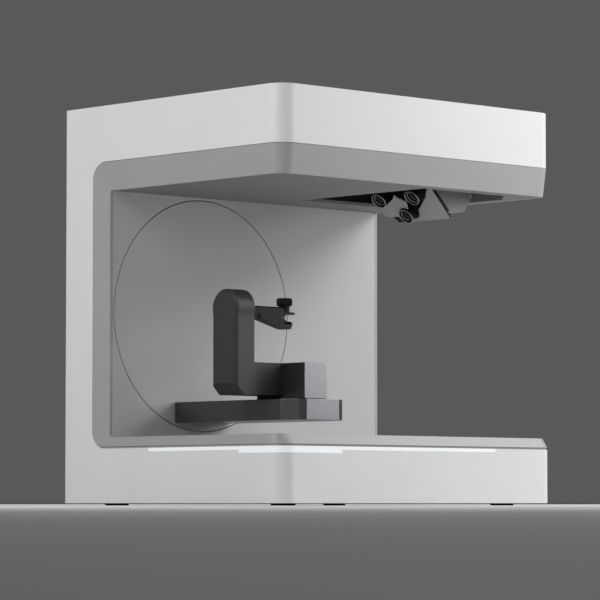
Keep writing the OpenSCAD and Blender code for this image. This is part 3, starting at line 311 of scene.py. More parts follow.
class Stock:
    """The finishes of this unit."""

    # Painted ABS of the outer shell: a fine satin skin, so edges catch a soft, even light.
    SHELL = Finish(
        "Painted ABS shell, satin", "shell", "#D9D9D9", "#D5D5D5", 0.42, Grain.POWDER, 1.1, 0.004
    )
    # The bezel's ABS is moulded in the shell's grey with a slightly duller, sparked skin; the darker
    # grey given here is painted shade on the bevels round the opening.
    BEZEL_PAINTED_SHADE = Finish(
        "Moulded ABS bezel, sparked, with painted shade", "bezel", "#9B9B9B", "#969696", 0.5, Grain.SPARKED, 0.8, 0.006
    )
    # The ceiling panel's darker grey is painted shade, standing in for the shadow under the top
    # slab. It is matt, so the cameras see no glare from above.
    CEILING_PAINTED_SHADE = Finish(
        "Painted ABS ceiling, matt, with painted shade", "bezel", "#7F7F7F", "#7A7A7A", 0.6, Grain.POWDER, 0.9, 0.004
    )
    # Panels inside the work space: matt, so the projector's pattern doesn't glare.
    PANEL = Finish(
        "Painted ABS panel, matt", "panel", "#B4B4B4", "#B0B0B0", 0.55, Grain.POWDER, 0.9, 0.004
    )
    # Powder-coated steel sheet on the back, with the orange peel of the coat.
    REAR = Finish(
        "Steel sheet, powder-coated grey",
        "rear_sheet",
        "#C6C6C6",
        "#C0C0C0",
        0.5,
        Grain.POWDER,
        1.4,
        0.012,
    )
    # Zinc-plated sheet: dull metal with slow grey clouds from the bath.
    ZINC = Finish(
        "Steel sheet, zinc-plated",
        "chassis_sheet",
        "#A9ADB0",
        "#949A9E",
        0.38,
        Grain.BLASTED,
        3.0,
        0.004,
        metallic=1.0,
    )
    # Cast aluminium in charcoal metallic coat: dark from the side, bright where it faces a lamp.
    CASTING = Finish(
        "Cast aluminium, charcoal metallic coat",
        "dark_casting",
        "#646467",
        "#616164",
        0.27,
        Grain.POWDER,
        0.45,
        0.0004,
        metallic=0.9,
    )
    # The bracket is bent from plate and hard-anodised: darker and duller than the casting.
    PLATE = Finish(
        "Aluminium plate, hard-anodised",
        "dark_casting",
        "#38383A",
        "#333335",
        0.5,
        Grain.BLASTED,
        0.5,
        0.003,
        metallic=0.4,
    )
    # Black dyed anodising: deep black and dull, because the porous skin scatters the light.
    ANODISED = Finish(
        "Aluminium, black anodised",
        "black_alloy",
        "#0F0F10",
        "#0B0B0C",
        0.52,
        Grain.BLASTED,
        0.4,
        0.003,
        ior=1.45,
        specular=0.25,
    )
    # Bright aluminium round each lens: the ring that holds the glass is turned bright, and the thin
    # front ring is a painted highlight on the black barrel's front edge.
    BRIGHT_RING_AND_HIGHLIGHT = Finish(
        "Aluminium, turned bright, with painted edge highlight",
        "steel",
        "#C9CACC",
        "#B4B5B7",
        0.3,
        Grain.TURNED,
        0.4,
        0.002,
        metallic=1.0,
    )
    # Mid-grey ABS of the camera head: satin, with a fine sparked skin.
    HEAD = Finish(
        "Moulded ABS head, satin", "head_shell", "#7E7E7F", "#787879", 0.4, Grain.SPARKED, 0.7, 0.005
    )
    # Light grey ABS sheet round the lenses: satin, so the black barrels stand out against it.
    FACE = Finish(
        "Moulded ABS sheet, satin",
        "head_face",
        "#B4B4B5",
        "#ADADAE",
        0.42,
        Grain.SPARKED,
        0.7,
        0.005,
    )
    # Ground steel: bright, with a fine grain from the wheel.
    STEEL = Finish(
        "Carbon steel, ground",
        "steel",
        "#D0D0D2",
        "#BEBEC1",
        0.24,
        Grain.TURNED,
        0.5,
        0.003,
        metallic=1.0,
    )
    # Hobbed brass: warm, with the marks of the cutter.
    BRASS = Finish(
        "Brass, hobbed",
        "brass",
        "#D8B060",
        "#C39A4C",
        0.28,
        Grain.TURNED,
        0.6,
        0.004,
        metallic=1.0,
    )
    # Nitrile rubber of the feet: black, dry and without shine.
    RUBBER = Finish(
        "Nitrile rubber, moulded", "rubber", "#1B1B1B", "#151515", 0.8, Grain.BLASTED, 0.8, 0.02
    )
    # Opal polycarbonate over the light strip, evenly white when it is on.
    OPAL = GlowFinish(
        "Opal polycarbonate, lit",
        "diffuser",
        "#D6D8DA",
        "#D2D4D6",
        0.45,
        Grain.POLISHED,
        5.0,
        0.001,
        strength=0.4,
    )
    # Coated lens glass: almost black, with a faint green in its reflections.
    GLASS = LensFinish(
        "Optical glass, coated",
        "glass",
        "#22382D",
        "#7DB596",
        0.03,
        Grain.POLISHED,
        5.0,
        0.0,
        ior=1.6,
    )
    # Glass-filled nylon of the fan, the inlet and the switch: black with a dull, sparked skin.
    NYLON = Finish(
        "Nylon, glass-filled, moulded",
        "black_plastic",
        "#1F1F20",
        "#191919",
        0.5,
        Grain.SPARKED,
        0.6,
        0.01,
    )
    # Circuit board under solder mask: green and glossy.
    BOARD = Finish(
        "Glass-epoxy board, solder mask",
        "board",
        "#1E5A3A",
        "#184A30",
        0.3,
        Grain.POLISHED,
        2.0,
        0.002,
        coat=0.4,
    )


def smooth(mesh: bpy.types.Mesh, degrees: float = SHARP_DEG) -> None:
    """Shades a mesh smooth, apart from edges sharper than the angle."""
    mesh.polygons.foreach_set("use_smooth", [True] * len(mesh.polygons))
    mesh.set_sharp_from_angle(angle=math.radians(degrees))


def new_piece(
    name: str, mesh: bpy.types.Mesh, finish: Finish, body: str, replaced: tuple[str, ...] = ()
) -> bpy.types.Object:
    """Makes an object from a mesh, dresses it and ties it to a body of the frame.

    Args:
        name: Name of the piece.
        mesh: Its mesh, in the frame's coordinates.
        finish: Its finish.
        body: The body of the frame that it moves with.
        replaced: The frame's pieces that it stands for.

    Returns:
        The new object.
    """
    piece = bpy.data.objects.new(name, mesh)
    bpy.context.scene.collection.objects.link(piece)
    mesh.materials.clear()
    mesh.materials.append(finish.material())
    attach(piece, body)
    if replaced:
        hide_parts(*replaced)
    return piece


def broken_edges(
    node: str, edge_mm: float, sharp_deg: float = SHARP_DEG, segments: int = 2
) -> bpy.types.Mesh:
    """Copies a node's mesh and rounds its sharp edges.

    Args:
        node: Name of the frame's piece.
        edge_mm: Radius of the broken edges.
        sharp_deg: Least angle between two faces that makes an edge sharp.
        segments: Facets across each edge.

    Returns:
        The new mesh.
    """
    work = bmesh.new()
    work.from_mesh(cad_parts[node].data)
    bmesh.ops.remove_doubles(work, verts=work.verts, dist=WELD_MM * MM)
    bmesh.ops.dissolve_limit(
        work, angle_limit=math.radians(FLAT_DEG), verts=work.verts, edges=work.edges
    )
    mesh = bpy.data.meshes.new(f"{node}_edges")
    work.to_mesh(mesh)
    work.free()
    mesh.materials.clear()
    for attribute in [a.name for a in mesh.attributes if a.name == "custom_normal"]:
        mesh.attributes.remove(mesh.attributes[attribute])
    smooth(mesh, sharp_deg)
    carrier = bpy.data.objects.new(f"{node}_carrier", mesh)
    bpy.context.scene.collection.objects.link(carrier)
    bevel = carrier.modifiers.new("edges", "BEVEL")
    bevel.width = edge_mm * MM
    bevel.segments = segments
    bevel.limit_method = "ANGLE"
    bevel.angle_limit = math.radians(sharp_deg)
    bevel.harden_normals = True
    bevel.use_clamp_overlap = True
    bpy.context.view_layer.update()
    graph = bpy.context.evaluated_depsgraph_get()
    result = bpy.data.meshes.new_from_object(carrier.evaluated_get(graph))
    bpy.data.objects.remove(carrier)
    bpy.data.meshes.remove(mesh)
    result.name = f"{node}_edges"
    return result


class Outline(Enum):
    """Outline of a turned piece at one height."""

    ROUND = "round"
    HEX = "six flats of a key socket"
    KNURLED = "straight knurl"


@dataclass(frozen=True)
class Ring:
    """One height of a turned piece."""

    radius_mm: float
    height_mm: float
    outline: Outline = Outline.ROUND

    def reach(self, angle: float, teeth: int, depth_mm: float) -> float:
        """Gives the radius at an angle.

        Args:
            angle: Angle round the axis, in radians.
            teeth: Teeth of a knurl.
            depth_mm: Depth of the knurl's grooves.

        Returns:
            The radius in millimetres.
        """
        if self.outline is Outline.HEX:
            sector = math.pi / 3
            return self.radius_mm / math.cos((angle % sector) - sector / 2)
        if self.outline is Outline.KNURLED:
            return self.radius_mm - depth_mm * (0.5 - 0.5 * math.cos(teeth * angle))
        return self.radius_mm


@dataclass
class Turned:
    """A piece turned round an axis, with any knurl or key socket."""

    rings: list[Ring]
    steps: int = 48
    teeth: int = 0
    depth_mm: float = 0.0

    def add_to(self, work: bmesh.types.BMesh, place: Matrix) -> None:
        """Adds the piece to a mesh and closes both ends.

        Args:
            work: The mesh.
            place: Where its axis starts and points, in metres.
        """
        rows = self.rows(work, place)
        work.faces.new(rows[0][::-1])
        work.faces.new(rows[-1])

    def add_loop(self, work: bmesh.types.BMesh, place: Matrix) -> None:
        """Adds a ring whose profile ends where it starts.

        Args:
            work: The mesh.
            place: Where its axis starts and points, in metres.
        """
        rows = self.rows(work, place)
        for first, last in zip(rows[0], rows[-1]):
            bmesh.ops.pointmerge(work, verts=(first, last), merge_co=first.co)

    def rows(self, work: bmesh.types.BMesh, place: Matrix) -> list[list[bmesh.types.BMVert]]:
        """Adds the wall of the piece.

        Args:
            work: The mesh.
            place: Where its axis starts and points, in metres.

        Returns:
            The vertices, one row for each height.
        """
        rows = []
        for ring in self.rings:
            row = []
            for step in range(self.steps):
                angle = 2 * math.pi * step / self.steps
                reach = ring.reach(angle, self.teeth, self.depth_mm)
                spot = Vector((reach * math.cos(angle), reach * math.sin(angle), ring.height_mm))
                row.append(work.verts.new(place @ (spot * MM)))
            rows.append(row)
        for low, high in zip(rows, rows[1:]):
            for step in range(self.steps):
                after = (step + 1) % self.steps
                work.faces.new((low[step], low[after], high[after], high[step]))
        return rows

    def mesh(self, name: str, *places: Matrix) -> bpy.types.Mesh:
        """Builds one mesh with a copy at each place.

        Args:
            name: Name of the mesh.
            *places: Where each copy's axis starts and points, in metres.

        Returns:
            The new mesh.
        """
        work = bmesh.new()
        for place in places:
            self.add_to(work, place)
        return closed_mesh(name, work)


def closed_mesh(name: str, work: bmesh.types.BMesh) -> bpy.types.Mesh:
    """Turns the faces outwards and writes the mesh.

    Args:
        name: Name of the mesh.
        work: The mesh that is built, freed here.

    Returns:
        The new mesh.
    """
    bmesh.ops.recalc_face_normals(work, faces=work.faces)
    mesh = bpy.data.meshes.new(name)
    work.to_mesh(mesh)
    work.free()
    smooth(mesh)
    return mesh


def prism(
    name: str, outline: tuple[tuple[float, float], ...], front: float, back: float
) -> bpy.types.Mesh:
    """Builds a straight piece from its outline as seen from the front.

    Args:
        name: Name of the mesh.
        outline: Corners in X and Z, in millimetres.
        front: Y of its front face, in millimetres.
        back: Y of its rear face, in millimetres.

    Returns:
        The new mesh.
    """
    work = bmesh.new()
    near, far = ([work.verts.new(Vector((x, y, z)) * MM) for x, z in outline] for y in (front, back))
    work.faces.new(near)
    work.faces.new(far)
    for step, corner in enumerate(near):
        after = (step + 1) % len(near)
        work.faces.new((corner, near[after], far[after], far[step]))
    return closed_mesh(name, work)


@dataclass
class SocketScrew:
    """Round screw head with a key socket, whose shares are of the head's radius and height."""

    head_mm: float
    height_mm: float
    edge_mm: float = 0.2
    key_share: float = 0.48
    lead_share: float = 0.12
    lead_depth_share: float = 0.1
    floor_share: float = 0.35

    def turned(self) -> Turned:
        """Gives the head with its broken edge and its socket.

        Returns:
            The head, standing on its underside.
        """
        r, top, edge = self.head_mm, self.height_mm, self.edge_mm
        key = self.key_share * r
        shoulder = 0.3 * edge
        return Turned(
            [
                Ring(r, 0.0),
                Ring(r, top - edge),
                Ring(r - shoulder, top - shoulder),
                Ring(r - edge, top),
                Ring(key + self.lead_share * r, top),
                Ring(key, top - self.lead_depth_share * r, Outline.HEX),
                Ring(key, top * self.floor_share, Outline.HEX),
            ],
            steps=24,
        )


def pointing(place_mm: tuple[float, float, float], along: tuple[float, float, float]) -> Matrix:
    """Gives the place of a turned piece from its foot and the way its axis points."""
    turn = Vector(along).to_track_quat("Z", "Y").to_matrix().to_4x4()
    return Matrix.Translation(Vector(place_mm) * MM) @ turn


@dataclass
class Assembly:
    """A sub-assembly: pieces of the frame that move with one or more bodies."""

    def plain(self, finish: Finish, *nodes: str) -> None:
        """Gives pieces of the frame their finish and keeps their shape.

        Args:
            finish: The finish.
            *nodes: Names of the frame's pieces.
        """
        for name in nodes:
            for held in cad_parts[name].material_slots:
                held.link = "OBJECT"
                held.material = finish.material()
            log.info("%s: %s", name, finish.name)

    def rounded(
        self, finish: Finish, body: str, edge_mm: float, *nodes: str, sharp_deg: float = SHARP_DEG
    ) -> None:
        """Replaces pieces of the frame with copies whose edges are broken.

        Args:
            finish: The finish.
            body: The body that the pieces move with.
            edge_mm: Radius of the broken edges.
            *nodes: Names of the frame's pieces.
            sharp_deg: Least angle between two faces that makes an edge sharp.
        """
        for name in nodes:
            mesh = broken_edges(name, edge_mm, sharp_deg)
            new_piece(f"{name}_finished", mesh, finish, body, (name,))
            log.info("%s: %s, edges %.2f mm", name, finish.name, edge_mm)


@dataclass
class Housing(Assembly):
    """Casing, bezel, panels, light bar and underside."""

    shell_edge_mm: float = 0.7
    bezel_edge_mm: float = 0.15

    def build(self) -> None:
        """Dresses the housing."""
        self.rounded(Stock.SHELL, "housing", self.shell_edge_mm, "casing")
        # Painted shade: the bezel's darker grey stands in for the shade on its bevels.
        self.rounded(Stock.BEZEL_PAINTED_SHADE, "housing", self.bezel_edge_mm, "bezel")
        self.plain(Stock.PANEL, "back_panel", "floor_panel")
        # Painted shade: the ceiling's darker grey stands in for the shadow under the top slab.
        self.plain(Stock.CEILING_PAINTED_SHADE, "ceiling_panel")
        self.plain(Stock.OPAL, "light_bar")
        self.plain(Stock.BOARD, "led_board")
        self.plain(Stock.ZINC, "bottom_plate")
        self.plain(Stock.STEEL, "floor_posts")
        self.plain(Stock.RUBBER, "feet")


@dataclass
class RearSide(Assembly):
    """Rear cover with the fan, the inlet, the socket and the power button."""

    def build(self) -> None:
        """Dresses the rear."""
        self.plain(Stock.REAR, "rear_cover")
        self.plain(Stock.STEEL, "rear_screws", "data_socket")
        self.plain(Stock.NYLON, "fan_frame", "fan_rotor", "power_inlet", "power_switch")
        self.plain(Stock.NYLON, "power_button")


@dataclass
class LensBarrel:
    """Lens barrel with a foot flange, a focus ring, a front hood and two bright rings: the front one
    a painted highlight on its edge, the other holding the glass.

    Heights count back from the front edge, and insets count in from the barrel's radius.
    """

    r: float = 7.8
    length: float = 10.0
    glass_r: float = 5.4
    glass_back: float = 3.2
    flange_out: float = 1.2
    flange_h: float = 1.6
    waist_in: float = 0.8
    focus_start: float = 2.9
    focus_end: float = 5.7
    focus_in: float = 0.2
    hood_back: float = 2.4
    rim_back: float = 0.55
    rim_in: float = 1.4
    edge: float = 0.3
    knurl_teeth: int = 40
    knurl_depth: float = 0.35

    def tube(self) -> Turned:
        """Gives the tube, from the foot flange round the front to the seat of the glass.

        Returns:
            The tube, with its front edge at height 0.
        """
        r, foot, edge, seat = self.r, -self.length, self.edge, self.glass_r
        waist, focus, hood = r - self.waist_in, r - self.focus_in, r - 0.1
        start, end = foot + self.focus_start, foot + self.focus_end
        flange, flange_top = r + self.flange_out, foot + self.flange_h
        rim, rim_z = r - self.rim_in, -self.rim_back
        return Turned(
            [
                Ring(flange, foot),
                Ring(flange, flange_top - edge),
                Ring(flange - edge, flange_top),
                Ring(waist, flange_top),
                Ring(waist, start),
                Ring(focus - 0.1, start + 0.2, Outline.KNURLED),
                Ring(focus, start + 0.5, Outline.KNURLED),
                Ring(focus, end - 0.5, Outline.KNURLED),
                Ring(focus - 0.1, end - 0.2, Outline.KNURLED),
                Ring(waist, end),
                Ring(waist, -self.hood_back),
                Ring(hood, edge - self.hood_back),
                Ring(r - 0.05, rim_z),
                Ring(rim, rim_z),
                Ring(rim - edge, rim_z - 0.65),
                Ring(rim - 0.35, rim_z - 1.15),
                Ring(rim - 0.6, rim_z - 1.35),
                Ring(seat, 1.0 - self.glass_back),
                Ring(seat - 0.05, -self.glass_back),
                Ring(seat - 1.0, -self.glass_back),
                Ring(seat - 1.6, foot + 2.0),
            ],
            steps=120,
            teeth=self.knurl_teeth,
            depth_mm=self.knurl_depth,
        )

    def front_highlight_ring(self) -> Turned:
        """Gives the thin bright ring on the front edge, a painted highlight of that edge.

        Returns:
            The ring, whose profile is closed.
        """
        r, back = self.r, -0.6
        return Turned(
            [
                Ring(r - 0.65, back),
                Ring(r - 0.02, back),
                Ring(r, back + 0.1),
                Ring(r, -0.2),
                Ring(r - 0.15, 0.0),
                Ring(r - 0.45, 0.0),
                Ring(r - 0.6, -0.2),
                Ring(r - 0.65, back),
            ],
            steps=96,
        )

    def glass_ring(self) -> Turned:
        """Gives the thin bright ring that holds the glass.

        Returns:
            The ring, whose profile is closed.
        """
        seat, back = self.glass_r, -1.95
        return Turned(
            [
                Ring(seat + 0.05, back),
                Ring(seat + 0.3, back),
                Ring(seat + 0.3, back + 0.27),
                Ring(seat + 0.15, back + 0.4),
                Ring(seat - 0.15, back + 0.2),
                Ring(seat + 0.05, back),
            ],
            steps=96,
        )


@dataclass
class CameraHead(Assembly):
    """Recess, faceted hood, lens carrier, lens barrels and glasses."""

    barrel: LensBarrel = field(default_factory=LensBarrel)
    hood_edge_mm: float = 0.5
    hood_facet_deg: float = 15.0
    plate_edge_mm: float = 0.3
    sheet_edge_mm: float = 0.25
    foot_tol_mm: float = 0.01
    pin: tuple[float, float, float] = (141.0, -66.45, 286.5)
    pin_r: float = 1.4
    pin_h: float = 1.0
    lip_y: tuple[float, float] = (37.0, 79.0)
    lip_outline: tuple[tuple[float, float], ...] = (
        (22.3, 281.2),
        (152.1, 281.2),
        (152.1, 284.2),
        (22.3, 284.2),
    )

    def build(self) -> None:
        """Dresses the head and turns its barrels."""
        self.lip()
        self.plain(Stock.HEAD, "head_tray")
        edge, facet = self.hood_edge_mm, self.hood_facet_deg
        self.rounded(Stock.HEAD, "housing", edge, "head_housing", sharp_deg=facet)
        self.rounded(Stock.ANODISED, "housing", self.plate_edge_mm, "head_faceplate")
        self.rounded(Stock.FACE, "housing", self.sheet_edge_mm, "head_cheek", "lens_bracket")
        for node in ("rear_camera", "front_camera", "projector"):
            self.lens(node)
        self.plain(Stock.GLASS, "lens_glasses")
        self.hood_pin()

    def lip(self) -> None:
        """Closes the rear part of the recess, level with the ceiling."""
        mesh = prism("recess_lip", self.lip_outline, *self.lip_y)
        # The lip takes the ceiling's darker grey, which is painted shade.
        new_piece("recess_lip", mesh, Stock.CEILING_PAINTED_SHADE, "housing")
        log.info("recess_lip: %s", Stock.CEILING_PAINTED_SHADE.name)

    def hood_pin(self) -> None:
        """Sets the pin with its key socket in the hood's front."""
        turned = SocketScrew(self.pin_r, self.pin_h).turned()
        mesh = turned.mesh("hood_pin", pointing(self.pin, (0.0, -1.0, 0.0)))
        new_piece("hood_pin", mesh, Stock.STEEL, "housing")
        log.info("hood_pin: %s", Stock.STEEL.name)

    def axis_of(self, node: str) -> Matrix:
        """Finds a barrel's axis from its own mesh.

        Args:
            node: The barrel's node.

        Returns:
            A place whose Z leaves the middle of the barrel's front edge, forwards.
        """
        points = [vertex.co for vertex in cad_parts[node].data.vertices]
        along = self.looking()
        front = max(point.dot(along) for point in points)
        back = min(point.dot(along) for point in points)
        foot = [point for point in points if point.dot(along) < back + self.foot_tol_mm * MM]
        low = Vector(map(min, *foot))
        high = Vector(map(max, *foot))
        middle = (low + high) / 2 + along * (front - back)
        return Matrix.Translation(middle) @ along.to_track_quat("Z", "Y").to_matrix().to_4x4()

    def looking(self) -> Vector:
        """Gives the way the head looks.

        Returns:
            The direction square to the carrier plate, downwards.
        """
        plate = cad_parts["head_faceplate"].data
        widest = max(plate.polygons, key=lambda face: face.area)
        normal = Vector(widest.normal)
        return normal if normal.z < 0 else -normal

    def lens(self, node: str) -> None:
        """Turns one barrel, its bright glass ring, and its front ring of painted highlight.

        Args:
            node: The barrel's node.
        """
        place = self.axis_of(node)
        tube = self.barrel.tube().mesh(f"{node}_tube", place)
        new_piece(f"{node}_tube", tube, Stock.ANODISED, "housing", (node,))
        work = bmesh.new()
        # The front ring is a painted highlight on the barrel's front edge; the other ring holds the
        # glass.
        for ring in (self.barrel.front_highlight_ring(), self.barrel.glass_ring()):
            ring.add_loop(work, place)
        rings = closed_mesh(f"{node}_rings", work)
        new_piece(f"{node}_rings", rings, Stock.BRIGHT_RING_AND_HIGHLIGHT, "housing")
        log.info("%s: tube %s, rings %s", node, Stock.ANODISED.name, Stock.BRIGHT_RING_AND_HIGHLIGHT.name)


@dataclass
class SwingStage(Assembly):
    """Disc, arm, hub and drive."""

    arm_edge_mm: float = 0.5
    arm_facet_deg: float = 10.0

    def build(self) -> None:
        """Dresses the swing stage."""
        self.plain(Stock.PANEL, "swing_disc")
        edge, facet = self.arm_edge_mm, self.arm_facet_deg
        self.rounded(Stock.CASTING, "swing", edge, "swing_arm", sharp_deg=facet)
        self.plain(Stock.CASTING, "arm_cover", "bearing_block")
        self.plain(Stock.STEEL, "swing_hub", "shaft_collar", "arm_screws", "swing_bearing")
        self.plain(Stock.STEEL, "swing_pinion", "turntable_bearing")
        self.plain(Stock.BRASS, "swing_gear")
        self.plain(Stock.ANODISED, "swing_motor", "turntable_motor")
        self.plain(Stock.ZINC, "chassis_plate")


@dataclass
class Knob:
    """Clamp knob with its neck, a straight knurl between two chamfers, and a dished top."""

    r: float = 7.1
    height: float = 7.1
    neck_r: float = 4.7
    neck_edge: float = 0.3
    flare: float = 0.6
    chamfer_r: float = 0.9
    chamfer_h: float = 1.1
    face_edge: float = 0.1
    dish_in: float = 2.4
    dish_depth: float = 0.4
    bore_r: float = 1.8
    teeth: int = 30
    knurl_depth: float = 0.7

    def turned(self, total: float) -> Turned:
        """Gives the knob.

        Args:
            total: Height from the neck's foot to the knob's top.

        Returns:
            The knob, standing on its neck.
        """
        r, neck, edge, dish = self.r, self.neck_r, self.face_edge, self.dish_depth
        under = total - self.height
        return Turned(
            [
                Ring(neck - self.neck_edge, 0.0),
                Ring(neck, self.neck_edge),
                Ring(neck, under - self.flare),
                Ring(neck + self.flare, under),
                Ring(r - 1.2, under),
                Ring(r - self.chamfer_r, under + edge),
                Ring(r, under + self.chamfer_h, Outline.KNURLED),
                Ring(r, total - self.chamfer_h, Outline.KNURLED),
                Ring(r - self.chamfer_r, total - edge),
                Ring(r - 1.3, total),
                Ring(r - self.dish_in, total),
                Ring(r - self.dish_in - dish, total - dish),
                Ring(self.bore_r, total - dish),
            ],
            steps=240,
            teeth=self.teeth,
            depth_mm=self.knurl_depth,
        )


@dataclass
class Holder(Assembly):
    """Turntable, block, bracket and clamp."""

    knob: Knob = field(default_factory=Knob)
    block_edge_mm: float = 0.9
    bracket_edge_mm: float = 0.8
    beam_edge_mm: float = 0.3
    jaw_edge_mm: float = 0.2
    pitch: float = 0.5
    thread_share: float = 0.6
    thread_steps: int = 24
    thread_weld_mm: float = 0.001
    cap: tuple[float, float, float] = (-90.2, -30.9, 168.6)
    cap_r: float = 2.2
    cap_h: float = 0.8
    cheek_y: tuple[float, float] = (-22.9, -19.1)
    cheek_outline: tuple[tuple[float, float], ...] = (
        (-58.8, 161.0),
        (-50.6, 161.0),
        (-50.6, 162.2),
        (-54.2, 167.1),
        (-58.8, 167.1),
    )

    def build(self) -> None:
        """Dresses the holder."""
        self.plain(Stock.ANODISED, "turntable_platter")
        self.plain(Stock.STEEL, "turntable_shaft", "turntable_pinion")
        self.plain(Stock.BRASS, "turntable_gear")
        self.rounded(Stock.CASTING, "turntable", self.block_edge_mm, "holder_block")
        self.rounded(Stock.PLATE, "turntable", self.bracket_edge_mm, "holder_bracket")
        self.rounded(Stock.ANODISED, "turntable", self.beam_edge_mm, "clamp_body")
        self.rounded(Stock.ANODISED, "jaw", self.jaw_edge_mm, "clamp_jaw")
        self.cheek()
        self.knurled_knob()
        self.thread()
        self.cap_screw()

    def cheek(self) -> None:
        """Fills the lower jaw behind the screw, under the upper jaw's lowest place."""
        mesh = prism("jaw_cheek", self.cheek_outline, *self.cheek_y)
        new_piece("jaw_cheek", mesh, Stock.ANODISED, "turntable")
        log.info("jaw_cheek: %s", Stock.ANODISED.name)

    def knurled_knob(self) -> None:
        """Turns the knob over the frame's plain one."""
        low, high = (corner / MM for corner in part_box("clamp_knob"))
        foot = (low.x + high.x) / 2, (low.y + high.y) / 2, low.z
        turned = self.knob.turned(high.z - low.z)
        mesh = turned.mesh("knurled_knob", pointing(foot, (0.0, 0.0, 1.0)))
        new_piece("knurled_knob", mesh, Stock.ANODISED, "screw", ("clamp_knob",))
        log.info("knurled_knob: %s", Stock.ANODISED.name)

    def thread(self) -> None:
        """Winds the screw's thread as one ridge along its length."""
        low, high = (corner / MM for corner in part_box("clamp_screw"))
        centre = Vector(((low.x + high.x) / 2, (low.y + high.y) / 2, 0.0))
        crest, steps = (high.x - low.x) / 2, self.thread_steps
        root = crest - self.thread_share * self.pitch
        work = bmesh.new()
        inner, outer = [], []
        count = math.ceil((high.z - low.z) / self.pitch + 1) * steps
        for step in range(count + 1):
            angle = 2 * math.pi * step / steps
            out = Vector((math.cos(angle), math.sin(angle), 0.0))
            z = low.z + self.pitch * (step / steps - 1)
            for row, reach, rise in ((inner, root, 0.0), (outer, crest, self.pitch / 2)):
                spot = centre + out * reach
                spot.z = min(max(z + rise, low.z), high.z)
                row.append(work.verts.new(spot * MM))
        for step in range(count):
            work.faces.new((inner[step], inner[step + 1], outer[step + 1], outer[step]))
            if step + steps < count:
                after = step + steps
                work.faces.new((outer[step], outer[step + 1], inner[after + 1], inner[after]))
        weld = self.thread_weld_mm * MM
        bmesh.ops.remove_doubles(work, verts=work.verts, dist=weld)
        bmesh.ops.dissolve_degenerate(work, edges=work.edges, dist=weld / 2)
        bmesh.ops.holes_fill(work, edges=work.edges, sides=0)
        mesh = closed_mesh("threaded_screw", work)
        new_piece("threaded_screw", mesh, Stock.STEEL, "screw", ("clamp_screw",))
        log.info("threaded_screw: %s", Stock.STEEL.name)

    def cap_screw(self) -> None:
        """Sets the cap screw in the beam's front."""
        turned = SocketScrew(self.cap_r, self.cap_h).turned()
        mesh = turned.mesh("clamp_cap_screw", pointing(self.cap, (0.0, -1.0, 0.0)))
        new_piece("clamp_cap_screw", mesh, Stock.ANODISED, "turntable")
        log.info("clamp_cap_screw: %s", Stock.ANODISED.name)


@dataclass
class Electronics(Assembly):
    """Board and power supply in the base."""

    def build(self) -> None:
        """Dresses what shows through the vents."""
        self.plain(Stock.BOARD, "main_board")
        self.plain(Stock.ZINC, "power_supply")


@dataclass(frozen=True)
class Lamp:
    """A soft square lamp that faces the middle of the scanner."""

    name: str
    azimuth_deg: float
    rise_deg: float
    watts: float
    size: float = 0.8
    distance: float = 1.8
    target: tuple[float, float, float] = (0.0, 0.0, 0.18)

    def place(self) -> Vector:
        """Works out where the lamp hangs; azimuth 0 is the front, and plus is its right.

        Returns:
            The lamp's place, in metres.
        """
        turn, rise = math.radians(self.azimuth_deg), math.radians(self.rise_deg)
        out = (math.cos(rise) * math.sin(turn), -math.cos(rise) * math.cos(turn), math.sin(rise))
        return Vector(self.target) + self.distance * Vector(out)

    def build(self) -> None:
        """Hangs the lamp. The camera doesn't see it, the surfaces do."""
        data = bpy.data.lights.new(self.name, "AREA")
        data.shape = "SQUARE"
        data.size = self.size
        data.energy = self.watts
        lamp = bpy.data.objects.new(self.name, data)
        lamp.location = self.place()
        facing = Vector(self.target) - self.place()
        lamp.rotation_euler = facing.to_track_quat("-Z", "Y").to_euler()
        lamp.visible_camera = False
        bpy.context.scene.collection.objects.link(lamp)


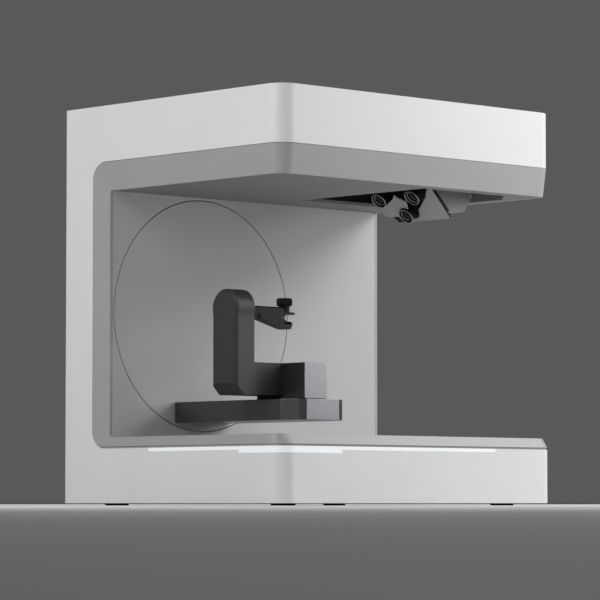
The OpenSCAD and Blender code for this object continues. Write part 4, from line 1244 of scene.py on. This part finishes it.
@dataclass
class Studio:
    """Floor, backdrop, lights and the camera at the photograph's place."""

    foot: float = 2 * MM
    focal_mm: float = 196.742
    yaw_deg: float = 43.251
    pitch_deg: float = 3.537
    eye: tuple[float, float, float] = (-2.047007, -2.162462, 0.00047)
    floor_colour: str = "#C9CACB"
    floor_half: float = 12.0
    sky_colour: str = "#FFFFFF"
    sky_strength: float = 0.1
    lamps: tuple[Lamp, ...] = (
        Lamp("left_low", -110.0, 12.0, 3.8),
        Lamp("left_high", -85.0, 30.0, 15.8),
        Lamp("front_left", -28.0, 8.0, 0.6),
        Lamp("front_high", 20.0, 30.0, 5.6),
        Lamp("mirror", 44.0, 4.0, 3.2, 0.36),
        Lamp("right_low", 62.0, 12.0, 5.0),
        Lamp("right_high", 60.0, 32.0, 22.3),
        Lamp("rear_rim", 140.0, 18.0, 9.0),
    )

    def build(self) -> None:
        """Builds the studio."""
        bpy.context.scene.view_settings.view_transform = "Standard"
        self.floor()
        self.sky()
        for lamp in self.lamps:
            lamp.build()
        self.camera()

    def floor(self) -> None:
        """Makes a plain pale floor that belongs to the studio."""
        work = bmesh.new()
        bmesh.ops.create_grid(work, x_segments=1, y_segments=1, size=self.floor_half)
        mesh = bpy.data.meshes.new("studio_floor")
        work.to_mesh(mesh)
        work.free()
        made = bpy.data.materials.new("Studio paper, matt")
        made.use_nodes = True
        shader = made.node_tree.nodes["Principled BSDF"]
        shader.inputs["Base Color"].default_value = linear(self.floor_colour)
        shader.inputs["Roughness"].default_value = 0.9
        mesh.materials.append(made)
        floor = bpy.data.objects.new("studio_floor", mesh)
        bpy.context.scene.collection.objects.link(floor)

    def sky(self) -> None:
        """Sets an even pale surround."""
        world = bpy.data.worlds.new("studio_surround")
        world.use_nodes = True
        bpy.context.scene.world = world
        back = world.node_tree.nodes["Background"]
        back.inputs["Color"].default_value = linear(self.sky_colour)
        back.inputs["Strength"].default_value = self.sky_strength

    def camera(self) -> None:
        """Places the camera where the photograph was taken."""
        data = bpy.data.cameras.new("photo_camera")
        data.lens = self.focal_mm
        data.sensor_width = 36.0
        data.clip_start = 0.05
        data.clip_end = 60.0
        eye = bpy.data.objects.new("photo_camera", data)
        eye.location = (self.eye[0], self.eye[1], self.eye[2] + self.foot)
        eye.rotation_euler = (
            math.radians(90 + self.pitch_deg),
            0.0,
            math.radians(-self.yaw_deg),
        )
        bpy.context.scene.collection.objects.link(eye)
        bpy.context.scene.camera = eye


def main() -> None:
    """Builds the pieces in order."""
    logging.basicConfig(level=logging.INFO, format="%(name)s: %(message)s")
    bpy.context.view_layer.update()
    for assembly in (Housing(), RearSide(), CameraHead(), SwingStage(), Holder(), Electronics()):
        log.info("building %s", type(assembly).__name__)
        assembly.build()
    Studio().build()


if __name__ == "__main__":
    main()
